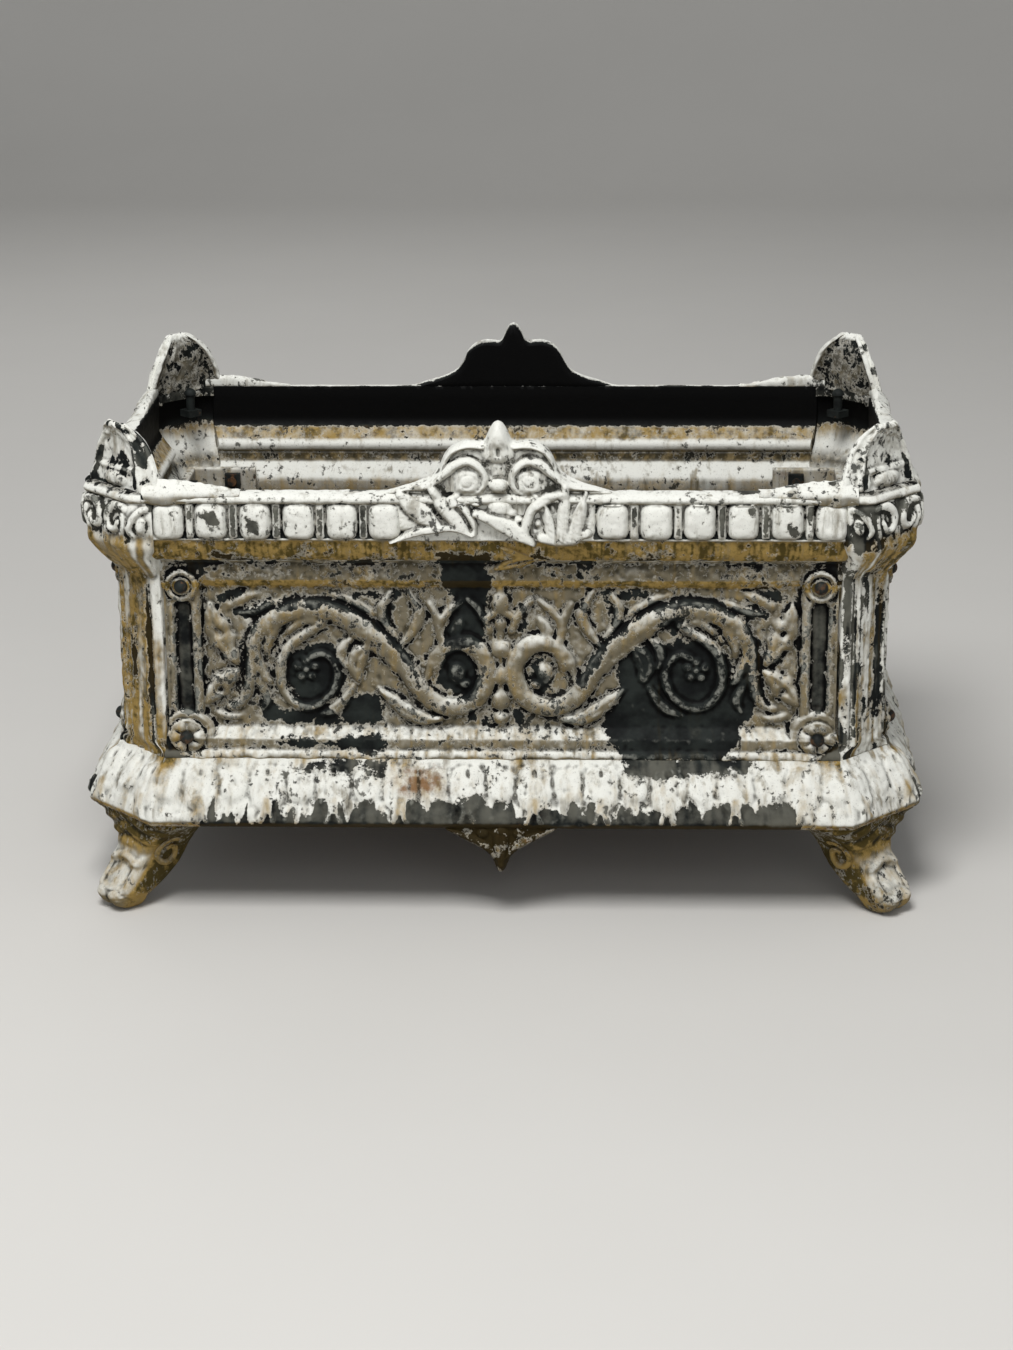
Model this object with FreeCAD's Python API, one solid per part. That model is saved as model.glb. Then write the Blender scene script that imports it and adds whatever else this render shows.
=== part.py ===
"""Rectangular cast-iron garden planter: four panels and four canted posts on a flared base with feet.

Millimetres, +Z up, front towards -Y, origin on the ground under the middle.
Every section is drawn as (d, z): d is how far a point lies inside the base's outermost edge.
"""
import FreeCAD
import Part

import math
import os

V = FreeCAD.Vector

# Plan at the base's outermost edge
HALF_X = 400.0
HALF_Y = 245.0
CANT = 68.0             # leg of each 45 degree corner
MITRE = math.tan(math.radians(22.5))

# Heights of the bands, from the ground up
FOOT_H = 93.0
BASE_H = 59.0
SILL_H = 29.0
FIELD_H = 136.0         # sunk field of the panels
HEAD_H = 30.0
COVE_H = 25.0
BAND_H = 33.0           # flat face behind the eggs
RIM_H = 10.0
CREST_H = 67.0          # crest above the rim

EDGE_Z = FOOT_H
SEAT_Z = EDGE_Z + BASE_H
FIELD_LOW = SEAT_Z + SILL_H
FIELD_HIGH = FIELD_LOW + FIELD_H
COVE_Z = FIELD_HIGH + HEAD_H
BAND_LOW = COVE_Z + COVE_H
BAND_HIGH = BAND_LOW + BAND_H
RIM_Z = BAND_HIGH + RIM_H
POST_Z = BAND_HIGH      # the ears sit on the posts here

# Depths of the faces and thickness of the castings
WALL = 9.0
FLANGE = 8.0
FRAME_D = 37.0
FIELD_SINK = 7.0
BAND_D = 19.0
RIM_OUT = 7.0           # rim stands this far proud of the band
RIM_WALL = 11.0
FIELD_D = FRAME_D + FIELD_SINK
RIM_D = BAND_D - RIM_OUT
BLOCK_D = RIM_D + 1     # corner block on top of the posts
BLOCK_WALL = 13.0
SHAFT_D = FRAME_D + 4
BASE_TOP_D = FRAME_D - 7
ROOT = 2.0              # how deep a raised feature is rooted in what carries it

# Panel frame, bosses and bolts
STILE = 51.0            # upright of the frame, measured from the mitre corner
FLUTE_W = 15.0
FLUTE_END = 16.0
BOLT_IN = 35.0          # bolt line, measured from the mitre corner
BOLT_Z = (SEAT_Z + 21, FIELD_HIGH + 4)
BOSS_R = (16.0, 15.0)
BOSS_D = (FRAME_D - 7, FRAME_D - 4)
PAD_R = 14.0
PAD_RISE = 2.0
PAD_D = FIELD_D + WALL + PAD_RISE
FLANGE_MARGIN = 13.0    # post flange beyond the bolts

# Egg band
EGG_PITCH = 40.0
EGG_W = 28.0
EGG_H = 31.0
EGG_OUT = 9.0
EGG_ROUND = 6.5
EGG_START = 104.0       # first egg beside the crest

# Scroll rings on the field: centre below mid height, gap to the stile, radius and thickness
RING_DROP = 6.0
RING_GAP = 45.0
RING = (56.0, 7.0)
END_RING_GAP = 17.0
END_RING = (44.0, 7.0)
INNER_RING_U = 42.0
INNER_RING_DROP = 13.0
INNER_RING = (24.0, 6.0)

# Fasteners
BOLT_R = 4.6
HOLE_R = 5.0
NUT_AF = 16.0
NUT_T = 7.0
HEAD_R = 6.5
BOLT_END = 3.0          # shank beyond the nut
FOOT_BOLT_L = 36.0

# Lugs of posts and ears: half widths at the wall and at the free end, bolt line, metal round the bolt
FOOT_BOLT_D = 54.0
FOOT_LUG = (24.0, 15.0, 9.0)
EAR_BOLT_D = 38.0
EAR_LUG = (29.0, 13.0, 12.0)

# Post: level, depth of its front facet, bend towards the canted face from the panel corner, thickness
POST = [(SEAT_Z, BASE_TOP_D + 4, -10, 13), (SEAT_Z + 7, BASE_TOP_D + 4, -10, 13),
        (SEAT_Z + 11, SHAFT_D, 1, 10), (COVE_Z - 24, SHAFT_D, 1, 10), (COVE_Z - 11, SHAFT_D - 6, 1, 11),
        (COVE_Z - 2, SHAFT_D - 13, 6, 12), (COVE_Z + 8, BLOCK_D + 7.5, 11, BLOCK_WALL),
        (COVE_Z + 17, BLOCK_D + 3.5, 13, BLOCK_WALL),
        (BAND_LOW + 4, BLOCK_D + 1, 10, BLOCK_WALL), (POST_Z - 6, BLOCK_D, 9, BLOCK_WALL),
        (POST_Z, BLOCK_D + 1.5, 8, BLOCK_WALL)]

# Floor plate, lying on the base's inner ledge
FLOOR_GAP = 1.0
FLOOR_BEARING = 16.0
FLOOR_T = 6.0
FLOOR_D = FOOT_BOLT_D + FOOT_LUG[2] + FLOOR_GAP
LEDGE_D = FLOOR_D + FLOOR_BEARING
DRAIN_R = 10.0
DRAIN_PITCH = 110.0
DRAIN_EDGE = 40.0

# Base flare, outside and inside: shares of the top's depth and of the height
FLARE_OUT = [(1, 1), (0.93, 0.92), (0.73, 0.8), (0.47, 0.61), (0.2, 0.37), (0.05, 0.2), (0, 0.1),
             (0.03, 0.03), (0.13, 0)]
FLARE_IN = [(0.43, -0.05), (0.43, 0.17), (0.67, 0.42), (1, 0.69)]
FLARE_SHELF_D = BASE_TOP_D + 8

# Crest and pendant drop: right half of the outline, x and height from the rim or from the base edge
CREST = [(0, CREST_H), (8, 60), (12, 51), (18, 49), (28, 46), (41, 41), (48, 35), (52, 26), (60, 16),
         (75, 10), (88, 5), (104, 1), (104, -8)]
CREST_D = (BAND_D - 1, BAND_D + 12)
DROP = [(54, 3), (52, -6), (22, -20), (12, -30), (6, -41), (0, -46)]
DROP_D = (4.0, 15.0)

# Foot: share of its height, distance in from the canted face, thickness along the diagonal, width across it
FOOT = [(0, 4, 20, 24), (0.05, 3, 29, 34), (0.16, 3.5, 43, 47), (0.22, 8, 51, 51), (0.38, 25, 62, 53),
        (0.57, 38.5, 65, 55), (0.75, 43.5, 71, 74), (0.9, 42, 72, CANT + 42), (1, 40.5, 72, CANT + 72)]
FOOT_CHAMFER = 0.3      # corner cut as a share of the smaller half side
FOOT_EDGE_D = 7.0       # the spreading top stays this far inside the base's edge
FOOT_VOLUTE = (15.0, 62.0, 36.0, 0.57)    # radius, length, distance in, share of the height
NECK = (12.0, 22.0, 48.0)    # tenon inside the base: in front of the bolt, behind it, and width
NECK_ROOT = 3.0

# Ear: height above the rim, depth of its front facet, bend and free end from the panel corner, thickness
EAR = [(0, 18, -3, -21, 9), (10, 21, -2.5, -20.5, 9), (20, 25, -2, -18.5, 9), (30, 29, -1, -15.5, 9),
       (40, 34, 0.5, -11, 8.5), (48, 39, 3.5, -5.5, 8), (53, 43, 7, 0, 7), (57, 46.5, 11, 7, 5)]
EAR_SILL = [(POST_Z, RIM_D + 0.5, 8), (RIM_Z - 4, RIM_D + 0.5, 8), (RIM_Z + 1, RIM_D + 4, 4)]
EAR_SILL_T = 20.0
WING = [(-92, 0), (-72, 4), (-44, 9), (-20, 11.5), (-10, 11.5), (-6, 0)]    # from panel corner and rim
WING_T = 15.0

FAR = 2 * HALF_X        # longer than any cut has to be
CORNER_TURN = {"front_left": -45, "front_right": 45, "back_left": 225, "back_right": 135}
SIDE_TURN = {"front": 0, "right": 90, "back": 180, "left": -90}
SIDES = {"front": HALF_X - CANT, "back": HALF_X - CANT, "left": HALF_Y - CANT, "right": HALF_Y - CANT}


def polygon(points):
    """Planar face through 3-D points."""
    vectors = [V(*p) for p in points]
    return Part.Face(Part.makePolygon(vectors + vectors[:1]))


def cylinder(radius, length, at, axis):
    return Part.makeCylinder(radius, length, V(*at), V(*axis))


def quarter_round(start, end, steps=5):
    """Points of a quarter ellipse that leaves start level and reaches end upright, both as (d, z)."""
    out, rise = end[0] - start[0], end[1] - start[1]
    turns = [math.pi / 2 * i / steps for i in range(steps + 1)]
    return [(start[0] + out * math.sin(t), end[1] - rise * math.cos(t)) for t in turns]


def mitred(section, half_len):
    """Prism of a (d, z) section along X, cut at both ends by the planes through the octagon's corners."""
    solid = polygon([(-FAR, d, z) for d, z in section]).extrude(V(2 * FAR, 0, 0))
    for side in (-1, 1):
        near, deep = half_len + MITRE * FAR, half_len - MITRE * FAR
        wedge = [(near, -FAR), (2 * FAR, -FAR), (2 * FAR, FAR), (deep, FAR)]
        face = polygon([(side * x, y, -FAR) for x, y in wedge])
        solid = solid.cut(face.extrude(V(0, 0, 2 * FAR)))
    return solid


def plate(right_half, level, depths):
    """Plate between two depths, cut to an outline of (x, height above level) and its mirror image."""
    outline = right_half + [(-x, h) for x, h in reversed(right_half) if x > 0]
    return polygon([(x, depths[0], level + h) for x, h in outline]).extrude(V(0, depths[1] - depths[0], 0))


def octagon(d, z):
    """Closed wire of the plan octagon, d inside the base edge, at level z."""
    x, y = HALF_X - d, HALF_Y - d
    a = HALF_X - CANT - MITRE * d
    b = HALF_Y - CANT - MITRE * d
    corners = [(a, -y), (x, -b), (x, b), (a, y), (-a, y), (-x, b), (-x, -b), (-a, -y)]
    points = [V(px, py, z) for px, py in corners]
    return Part.makePolygon(points + points[:1])


def ring_loft(section):
    """Solid whose plan is the octagon at every (d, z) of the section."""
    return Part.makeLoft([octagon(d, z) for d, z in section], True, True)


def turned(shape, degrees, move):
    copy = shape.copy()
    copy.rotate(V(0, 0, 0), V(0, 0, 1), degrees)
    copy.translate(V(*move))
    return copy


def place_side(shape, side):
    """Carry a piece drawn with d along +Y to its own side."""
    turn = math.radians(SIDE_TURN[side])
    move = (HALF_X * math.sin(turn), -HALF_Y * math.cos(turn), 0)
    return turned(shape, SIDE_TURN[side], move)


def place_corner(shape, corner):
    """Carry a piece drawn with d along +Y to a canted corner."""
    x = HALF_X - CANT / 2
    y = HALF_Y - CANT / 2
    move = (-x if "left" in corner else x, y if "back" in corner else -y, 0)
    return turned(shape, CORNER_TURN[corner], move)


def mirror_corner(shape, corner):
    """Mirror a front right piece to the named corner."""
    copy = shape.copy()
    if "left" in corner:
        copy = copy.mirror(V(0, 0, 0), V(1, 0, 0))
    if "back" in corner:
        copy = copy.mirror(V(0, 0, 0), V(0, 1, 0))
    return copy


def across_diagonal(shape):
    """Mirror image in the upright plane through the middle of the front right corner."""
    return shape.mirror(V(HALF_X - CANT / 2, -HALF_Y + CANT / 2, 0), V(1, 1, 0))


def panel_section():
    """Closed (d, z) section of a panel: plinth, sunk field in its frame, cove, egg band, rim and back."""
    plinth = [(BASE_TOP_D + 1, SEAT_Z), (BASE_TOP_D + 1, SEAT_Z + 6), (FRAME_D - 2, SEAT_Z + 8.5)]
    field = [(FRAME_D - 2, FIELD_LOW - 10), (FIELD_D, FIELD_LOW), (FIELD_D, FIELD_HIGH),
             (FRAME_D, FIELD_HIGH + 9)]
    cove = [(FRAME_D, COVE_Z - 3)] + quarter_round((FRAME_D - 4, COVE_Z), (BAND_D + 1, BAND_LOW - 2))
    rim = [(BAND_D, BAND_LOW), (BAND_D, BAND_HIGH), (RIM_D + 2, BAND_HIGH + 1), (RIM_D, BAND_HIGH + 4),
           (RIM_D + 1, BAND_HIGH + 6.5), (RIM_D + 6, RIM_Z - 1.5), (RIM_D + 12, RIM_Z)]
    rim_back = [(BAND_D + RIM_WALL - 1, RIM_Z), (BAND_D + RIM_WALL + 1, RIM_Z - 2),
                (BAND_D + RIM_WALL, BAND_HIGH), (BAND_D + RIM_WALL, BAND_LOW + 2)]
    back = [(BAND_D + RIM_WALL + 2, BAND_LOW - 8), (FRAME_D + WALL - 4, COVE_Z + 4),
            (FRAME_D + WALL, COVE_Z - 2), (FRAME_D + WALL, FIELD_HIGH + 10),
            (FIELD_D + WALL, FIELD_HIGH - 1), (FIELD_D + WALL, FIELD_LOW + 2),
            (FRAME_D + WALL - 2, FIELD_LOW - 11), (FRAME_D + WALL - 2, SEAT_Z)]
    return plinth + field + cove + rim + rim_back + back


def canted(depth, bend):
    """How far the canted face lies inside the base's canted edge, for a facet of this depth and bend."""
    return (depth - bend) / math.sqrt(2)


def corner_level(z, depth, bend, thick, end=None):
    """Closed plan outline round the front right corner: front facet, canted face, end facet, and back inside.

    The facets stop at the mitre planes, or at a free end measured from the panel corner.
    """
    corner_x = HALF_X - CANT
    y = -HALF_Y + depth
    stop, inner_stop = (-MITRE * depth, -MITRE * (depth + thick)) if end is None else (end, end)
    outer = [V(corner_x + stop, y, z), V(corner_x + bend, y, z)]
    inner = [V(corner_x + inner_stop, y + thick, z), V(corner_x + bend - MITRE * thick, y + thick, z)]
    far = [across_diagonal(Part.Vertex(p)).Point for p in outer]
    far_inner = [across_diagonal(Part.Vertex(p)).Point for p in inner]
    points = outer + far[::-1] + far_inner + inner[::-1]
    return Part.makePolygon(points + points[:1])


def egg(u):
    """One domed block of the egg band."""
    depth = EGG_OUT + ROOT
    low = (BAND_LOW + BAND_HIGH - EGG_H) / 2
    block = Part.makeBox(EGG_W, depth, EGG_H, V(u - EGG_W / 2, BAND_D - EGG_OUT, low))
    front = [e for e in block.Edges if all(abs(v.Y - BAND_D + EGG_OUT) < 0.01 for v in e.Vertexes)]
    return block.makeFillet(EGG_ROUND, front)


def eggs(first, half_len):
    """Eggs on both sides of the middle, from the first position out to the mitre."""
    room = half_len - MITRE * (BAND_D + ROOT) - EGG_W / 2 - first
    places = [first + EGG_PITCH * k for k in range(int(room / EGG_PITCH) + 1)]
    return [egg(u) for u in sorted(set(places + [-u for u in places]))]


def ring(u, drop, size):
    """Half-round ring of the scrollwork, rooted in the sunk field."""
    radius, thick = size
    z = (FIELD_LOW + FIELD_HIGH) / 2 - drop
    torus = Part.makeTorus(radius, thick, V(u, FIELD_D, z), V(0, 1, 0))
    behind = Part.makeBox(2 * FAR, FAR, 2 * FAR, V(-FAR, FIELD_D + ROOT, -FAR))
    return torus.cut(behind)


def stiles(half_len):
    """Both uprights of the frame, each with its sunk flute."""
    low, high = FIELD_LOW - 2 * ROOT, FIELD_HIGH + 2 * ROOT
    back = FIELD_D + ROOT
    bars = mitred([(FRAME_D, low), (FRAME_D, high), (back, high), (back, low)], half_len)
    inner = half_len - STILE
    bars = bars.cut(Part.makeBox(2 * inner, FAR, FAR, V(-inner, 0, 0)))
    for side in (-1, 1):
        corner = V(side * (half_len - BOLT_IN) - FLUTE_W / 2, 0, FIELD_LOW + FLUTE_END)
        bars = bars.cut(Part.makeBox(FLUTE_W, FIELD_D - ROOT, FIELD_H - 2 * FLUTE_END, corner))
    return bars


def bosses(u):
    """Two bosses outside and two bolt pads inside, on one bolt line."""
    shapes = []
    for z, radius, depth in zip(BOLT_Z, BOSS_R, BOSS_D):
        shapes.append(cylinder(radius, FIELD_D + ROOT - depth, (u, depth, z), (0, 1, 0)))
        shapes.append(cylinder(PAD_R, PAD_D - FIELD_D, (u, FIELD_D, z), (0, 1, 0)))
    return shapes


def panel(half_len, ornament):
    """Panel casting with its frame, bosses and ornament in one piece, drilled for the bolts."""
    shapes = [stiles(half_len)] + ornament
    lines = [side * (half_len - BOLT_IN) for side in (-1, 1)]
    for u in lines:
        shapes += bosses(u)
    solid = mitred(panel_section(), half_len).multiFuse(shapes).removeSplitter()
    for u in lines:
        for z in BOLT_Z:
            solid = solid.cut(cylinder(HOLE_R, FAR, (u, 0, z), (0, 1, 0)))
    return solid


def long_panel():
    half_len = HALF_X - CANT
    ornament = [plate(CREST, RIM_Z, CREST_D)] + eggs(EGG_START, half_len)
    ring_u = half_len - STILE - RING_GAP - sum(RING)
    for side in (-1, 1):
        ornament.append(ring(side * ring_u, RING_DROP, RING))
        ornament.append(ring(side * INNER_RING_U, INNER_RING_DROP, INNER_RING))
    return panel(half_len, ornament)


def end_panel():
    half_len = HALF_Y - CANT
    ring_u = half_len - STILE - END_RING_GAP - sum(END_RING)
    ornament = eggs(0, half_len) + [ring(side * ring_u, RING_DROP, END_RING) for side in (-1, 1)]
    return panel(half_len, ornament)


def post_flange():
    """Flange of the front right post behind the front panel, with its bolt holes."""
    corner_x = HALF_X - CANT
    bolt_x = corner_x - BOLT_IN
    start = corner_x - STILE - FLANGE
    front = -HALF_Y + PAD_D
    back = front + FLANGE
    reach = corner_x + PAD_D - math.sqrt(2) * (canted(*POST[2][1:3]) + POST[2][3] / 2)
    low, high = BOLT_Z[0] - FLANGE_MARGIN, BOLT_Z[1] + FLANGE_MARGIN
    outline = [(start, front), (start, back), (reach + FLANGE, back), (reach, front)]
    solid = polygon([(x, y, low) for x, y in outline]).extrude(V(0, 0, high - low))
    for z in BOLT_Z:
        solid = solid.cut(cylinder(HOLE_R, FAR, (bolt_x, -HALF_Y, z), (0, 1, 0)))
    return solid


def lug(size, root_d, bolt_d, level):
    """Level lug that runs inwards from the canted wall and takes an upright bolt."""
    wide, narrow, margin = size
    end = bolt_d + margin
    outline = [(-wide, root_d), (wide, root_d), (narrow, end), (-narrow, end)]
    solid = polygon([(x, d, level) for x, d in outline]).extrude(V(0, 0, FLANGE))
    return solid.cut(cylinder(HOLE_R, FAR, (0, bolt_d, 0), (0, 0, 1)))


def post():
    """Post of the front right corner, swelling to a block at the top, with two flanges and two lugs."""
    body = Part.makeLoft([corner_level(*level) for level in POST], True, True)
    foot_root = canted(*POST[0][1:3]) + POST[0][3] - ROOT
    foot_lug = lug(FOOT_LUG, foot_root, FOOT_BOLT_D, SEAT_Z)
    ear_root = canted(*POST[-1][1:3]) + POST[-1][3] - ROOT
    ear_lug = lug(EAR_LUG, ear_root, EAR_BOLT_D, POST_Z - FLANGE)
    lugs = place_corner(foot_lug, "front_right"), place_corner(ear_lug, "front_right")
    flange = post_flange()
    return body.multiFuse([*lugs, flange, across_diagonal(flange)]).removeSplitter()


def ear_wing():
    """Leaf that runs from the ear along the top of the front rim."""
    outline = [(HALF_X - CANT + x, -HALF_Y + BLOCK_D, RIM_Z + h) for x, h in WING]
    return polygon(outline).extrude(V(0, WING_T, 0))


def ear():
    """Hood of the front right corner on its sill, with a lug for the bolt and a wing along each rim."""
    levels = [corner_level(RIM_Z + h, depth, bend, thick, end) for h, depth, bend, end, thick in EAR]
    hood = Part.makeLoft(levels, True, True)
    sill = Part.makeLoft([corner_level(*level, EAR_SILL_T) for level in EAR_SILL], True, True)
    root = canted(*EAR_SILL[0][1:]) + EAR_SILL_T - ROOT
    bolt_lug = place_corner(lug(EAR_LUG, root, EAR_BOLT_D, POST_Z), "front_right")
    wing = ear_wing()
    return sill.multiFuse([hood, bolt_lug, wing, across_diagonal(wing)]).removeSplitter()


def foot_level(share, d, thick, wide):
    """Eight-cornered section of the foot at one level, its corners cut back to stay under the base."""
    a, b = wide / 2, thick / 2
    room = d + (CANT / 2 - FOOT_EDGE_D) * math.sqrt(2)
    c = max(FOOT_CHAMFER * min(a, b), a + b - room)
    quarter = [(a - c, -b), (a, -b + c), (a, b - c), (a - c, b)]
    outline = quarter + [(-x, y) for x, y in reversed(quarter)]
    points = [V(x, d + y, share * FOOT_H) for x, y in outline]
    return Part.makePolygon(points + points[:1])


def foot():
    """Splayed foot with a volute on each flank and a tenon up to the base's ledge."""
    leg = Part.makeLoft([foot_level(*level) for level in FOOT], True, True)
    radius, length, d, share = FOOT_VOLUTE
    volute = cylinder(radius, length, (-length / 2, d, share * FOOT_H), (1, 0, 0))
    before, behind, width = NECK
    low, high = EDGE_Z - NECK_ROOT, SEAT_Z - FLANGE
    neck = Part.makeBox(width, before + behind, high - low, V(-width / 2, FOOT_BOLT_D - before, low))
    solid = leg.multiFuse([volute, neck]).removeSplitter()
    bolt_tip = SEAT_Z + FLANGE - FOOT_BOLT_L
    return solid.cut(cylinder(BOLT_R, FAR, (0, FOOT_BOLT_D, bolt_tip - BOLT_END), (0, 0, 1)))


def base():
    """Flared ring with an inner ledge, a pendant drop on each long side and four bolt holes."""
    outside = [(BASE_TOP_D * d, EDGE_Z + BASE_H * h) for d, h in FLARE_OUT]
    inside = [(BASE_TOP_D * d, EDGE_Z + BASE_H * h) for d, h in FLARE_IN]
    inside.append((FLARE_SHELF_D, SEAT_Z - FLANGE))
    solid = ring_loft(outside).cut(ring_loft(inside))
    solid = solid.cut(ring_loft([(LEDGE_D, EDGE_Z), (LEDGE_D, SEAT_Z + FLANGE)]))
    drop = plate(DROP, EDGE_Z, DROP_D)
    solid = solid.multiFuse([place_side(drop, "front"), place_side(drop, "back")])
    hole = cylinder(HOLE_R, FAR, (0, FOOT_BOLT_D, 0), (0, 0, 1))
    for corner in CORNER_TURN:
        solid = solid.cut(place_corner(hole, corner))
    return solid.removeSplitter()


def floor_plate():
    """Loose plate with a row of drain holes."""
    solid = ring_loft([(FLOOR_D, SEAT_Z), (FLOOR_D, SEAT_Z + FLOOR_T)])
    count = int((HALF_X - FLOOR_D - DRAIN_EDGE) / DRAIN_PITCH)
    for k in range(-count, count + 1):
        solid = solid.cut(cylinder(DRAIN_R, FAR, (k * DRAIN_PITCH, 0, 0), (0, 0, 1)))
    return solid


def domed_bolt(length, at, axis):
    """Round-headed bolt: the head's flat face sits at the point given, the shank runs along the axis."""
    head = Part.makeSphere(HEAD_R, V(*at), V(*axis), -90, 0, 360)
    return head.fuse(cylinder(BOLT_R, length, at, axis))


def square_nut(at, axis):
    """Square nut whose bearing face is at the point given."""
    body = Part.makeBox(NUT_AF, NUT_AF, NUT_T, V(-NUT_AF / 2, -NUT_AF / 2, 0))
    body = body.cut(cylinder(BOLT_R, NUT_T, (0, 0, 0), (0, 0, 1)))
    body.Placement = FreeCAD.Placement(V(*at), FreeCAD.Rotation(V(0, 0, 1), V(*axis)))
    return body


def side_fasteners(half_len):
    """Bolts and nuts of one panel, drawn with d along +Y."""
    bolts, nuts = [], []
    nut_d = PAD_D + FLANGE
    for side in (-1, 1):
        u = side * (half_len - BOLT_IN)
        for z, boss in zip(BOLT_Z, BOSS_D):
            bolts.append(domed_bolt(nut_d + NUT_T + BOLT_END - boss, (u, boss, z), (0, 1, 0)))
            nuts.append(square_nut((u, nut_d, z), (0, 1, 0)))
    return Part.makeCompound(bolts), Part.makeCompound(nuts)


def corner_fasteners():
    """Ear bolt, ear nut and foot bolt of one corner, drawn with d along +Y."""
    ear_length = 2 * FLANGE + NUT_T + BOLT_END
    ear_bolt = domed_bolt(ear_length, (0, EAR_BOLT_D, POST_Z + FLANGE), (0, 0, -1))
    ear_nut = square_nut((0, EAR_BOLT_D, POST_Z - FLANGE), (0, 0, -1))
    foot_bolt = domed_bolt(FOOT_BOLT_L, (0, FOOT_BOLT_D, SEAT_Z + FLANGE), (0, 0, -1))
    return {"ear_bolts": ear_bolt, "ear_nuts": ear_nut, "foot_bolts": foot_bolt}


def save(shape, name):
    facts = (name, shape.Volume, len(shape.Solids), shape.isValid())
    print("%-18s volume %10.0f mm3  solids %d  valid %s" % facts)
    shape.exportStep(os.path.join("parts", name + ".step"))


os.makedirs("parts", exist_ok=True)
castings = {"front": long_panel(), "left": end_panel()}
castings["back"], castings["right"] = castings["front"], castings["left"]
panel_bolts, panel_nuts = [], []
for side, half_len in SIDES.items():
    save(place_side(castings[side], side), side + "_panel")
    bolts, nuts = side_fasteners(half_len)
    panel_bolts.append(place_side(bolts, side))
    panel_nuts.append(place_side(nuts, side))
save(Part.makeCompound(panel_bolts), "panel_bolts")
save(Part.makeCompound(panel_nuts), "panel_nuts")

corner_post, corner_ear, corner_foot = post(), ear(), foot()
for corner in CORNER_TURN:
    save(mirror_corner(corner_post, corner), corner + "_post")
    save(mirror_corner(corner_ear, corner), corner + "_ear")
    save(place_corner(corner_foot, corner), corner + "_foot")
for name, shape in corner_fasteners().items():
    save(Part.makeCompound([place_corner(shape, corner) for corner in CORNER_TURN]), name)

save(base(), "base")
save(floor_plate(), "floor_plate")
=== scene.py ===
# %% [markdown]
# # A cast-iron garden planter under flaking paint
# The planter is a rectangular trough of cast-iron plates bolted together at canted corners. The packed
# model already holds every casting at its true size, so this lesson only dresses it: each casting gets a
# surface worked out with numpy, carrying the relief that the founder's pattern pressed into the sand.

# %% Load the packed planter
import math

import bpy
import numpy as np
from mathutils import Matrix, Vector


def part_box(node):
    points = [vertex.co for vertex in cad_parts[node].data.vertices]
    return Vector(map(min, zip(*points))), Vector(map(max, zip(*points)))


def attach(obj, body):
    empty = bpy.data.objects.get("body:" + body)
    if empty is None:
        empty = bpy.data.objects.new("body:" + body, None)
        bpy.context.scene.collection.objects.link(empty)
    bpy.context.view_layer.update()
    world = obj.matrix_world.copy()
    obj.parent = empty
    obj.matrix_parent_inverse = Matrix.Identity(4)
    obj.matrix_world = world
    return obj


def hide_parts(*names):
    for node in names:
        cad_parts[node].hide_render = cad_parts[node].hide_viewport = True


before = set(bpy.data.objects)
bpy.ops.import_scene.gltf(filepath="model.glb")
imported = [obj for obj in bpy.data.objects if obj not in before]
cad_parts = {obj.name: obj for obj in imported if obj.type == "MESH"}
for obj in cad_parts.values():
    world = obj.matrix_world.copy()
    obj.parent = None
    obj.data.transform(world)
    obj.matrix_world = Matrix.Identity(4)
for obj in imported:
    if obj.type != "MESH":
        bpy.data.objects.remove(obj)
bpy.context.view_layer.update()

print("packed nodes:", len(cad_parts))

# %% [markdown]
# ## Sizes taken from the frame
# A dressed casting must sit exactly where its plain solid sits, so the main sizes are read from the
# packed nodes. Work is done in millimetres, as in a pattern shop, and turned into metres at the end.
# Depths are measured inwards from the base's outermost edge, so one number d means the same on every side.

# %% Main sizes
MM = 0.001
MITRE = math.tan(math.radians(22.5))
DIAGONAL = math.sqrt(0.5)
RIM_D, RIM_RISE, FLARE_DROP = 12.0, 10.0, 59.0


def box_mm(node):
    """Lowest and highest corner of a packed node in millimetres."""
    return np.array(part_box(node)) / MM


half_x, half_y = box_mm("base")[1][:2]
seat_z = box_mm("floor_plate")[0][2]
post_z = box_mm("front_left_post")[1][2]
rim_z = post_z + RIM_RISE
edge_z = seat_z - FLARE_DROP
corner_x = box_mm("front_panel")[1][0] + MITRE * RIM_D
cant = half_x - corner_x
LONG, END, CANTED = corner_x, half_y - cant, cant * DIAGONAL
print("half lengths of the sides at the base edge: %.1f %.1f %.1f mm" % (LONG, END, CANTED))


def to_side(points, side):
    """Turns (u, d, z) of one side into frame metres: u runs along the side, d points into the planter."""
    u, d, z = np.moveaxis(points, -1, 0)
    x, y = {"front": (u, d - half_y), "right": (half_x - d, u),
            "back": (-u, half_y - d), "left": (d - half_x, -u)}[side]
    return np.stack([x, y, z], -1) * MM


def to_corner(points, corner):
    """Turns (u, d, z) of the canted front right corner into frame metres, mirrored to the named corner."""
    u, d, z = np.moveaxis(points, -1, 0)
    x = half_x - cant / 2 + (u - d) * DIAGONAL
    y = -half_y + cant / 2 + (u + d) * DIAGONAL
    x = -x if "left" in corner else x
    y = -y if "back" in corner else y
    return np.stack([x, y, z], -1) * MM


# %% [markdown]
# ## From a grid of points to a closed casting
# Every casting here is a loop of rows carried along columns: the rows go up the outside and come down the
# inside, so the grid closes on itself like a tube, and the two ends are capped. Building by hand with
# extrude and bevel would need thousands of clicks for the relief; a grid takes one formula.

# %% Shells and normals
# The hollow mark also carries painted shade: it darkens hollows, the fascia under the cove, the band under
# the rim, the backs of the crests and shaded sides.
MARKS = ("hollow", "bare", "ochre", "bright", "rust")
CREASE = 50


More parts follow.
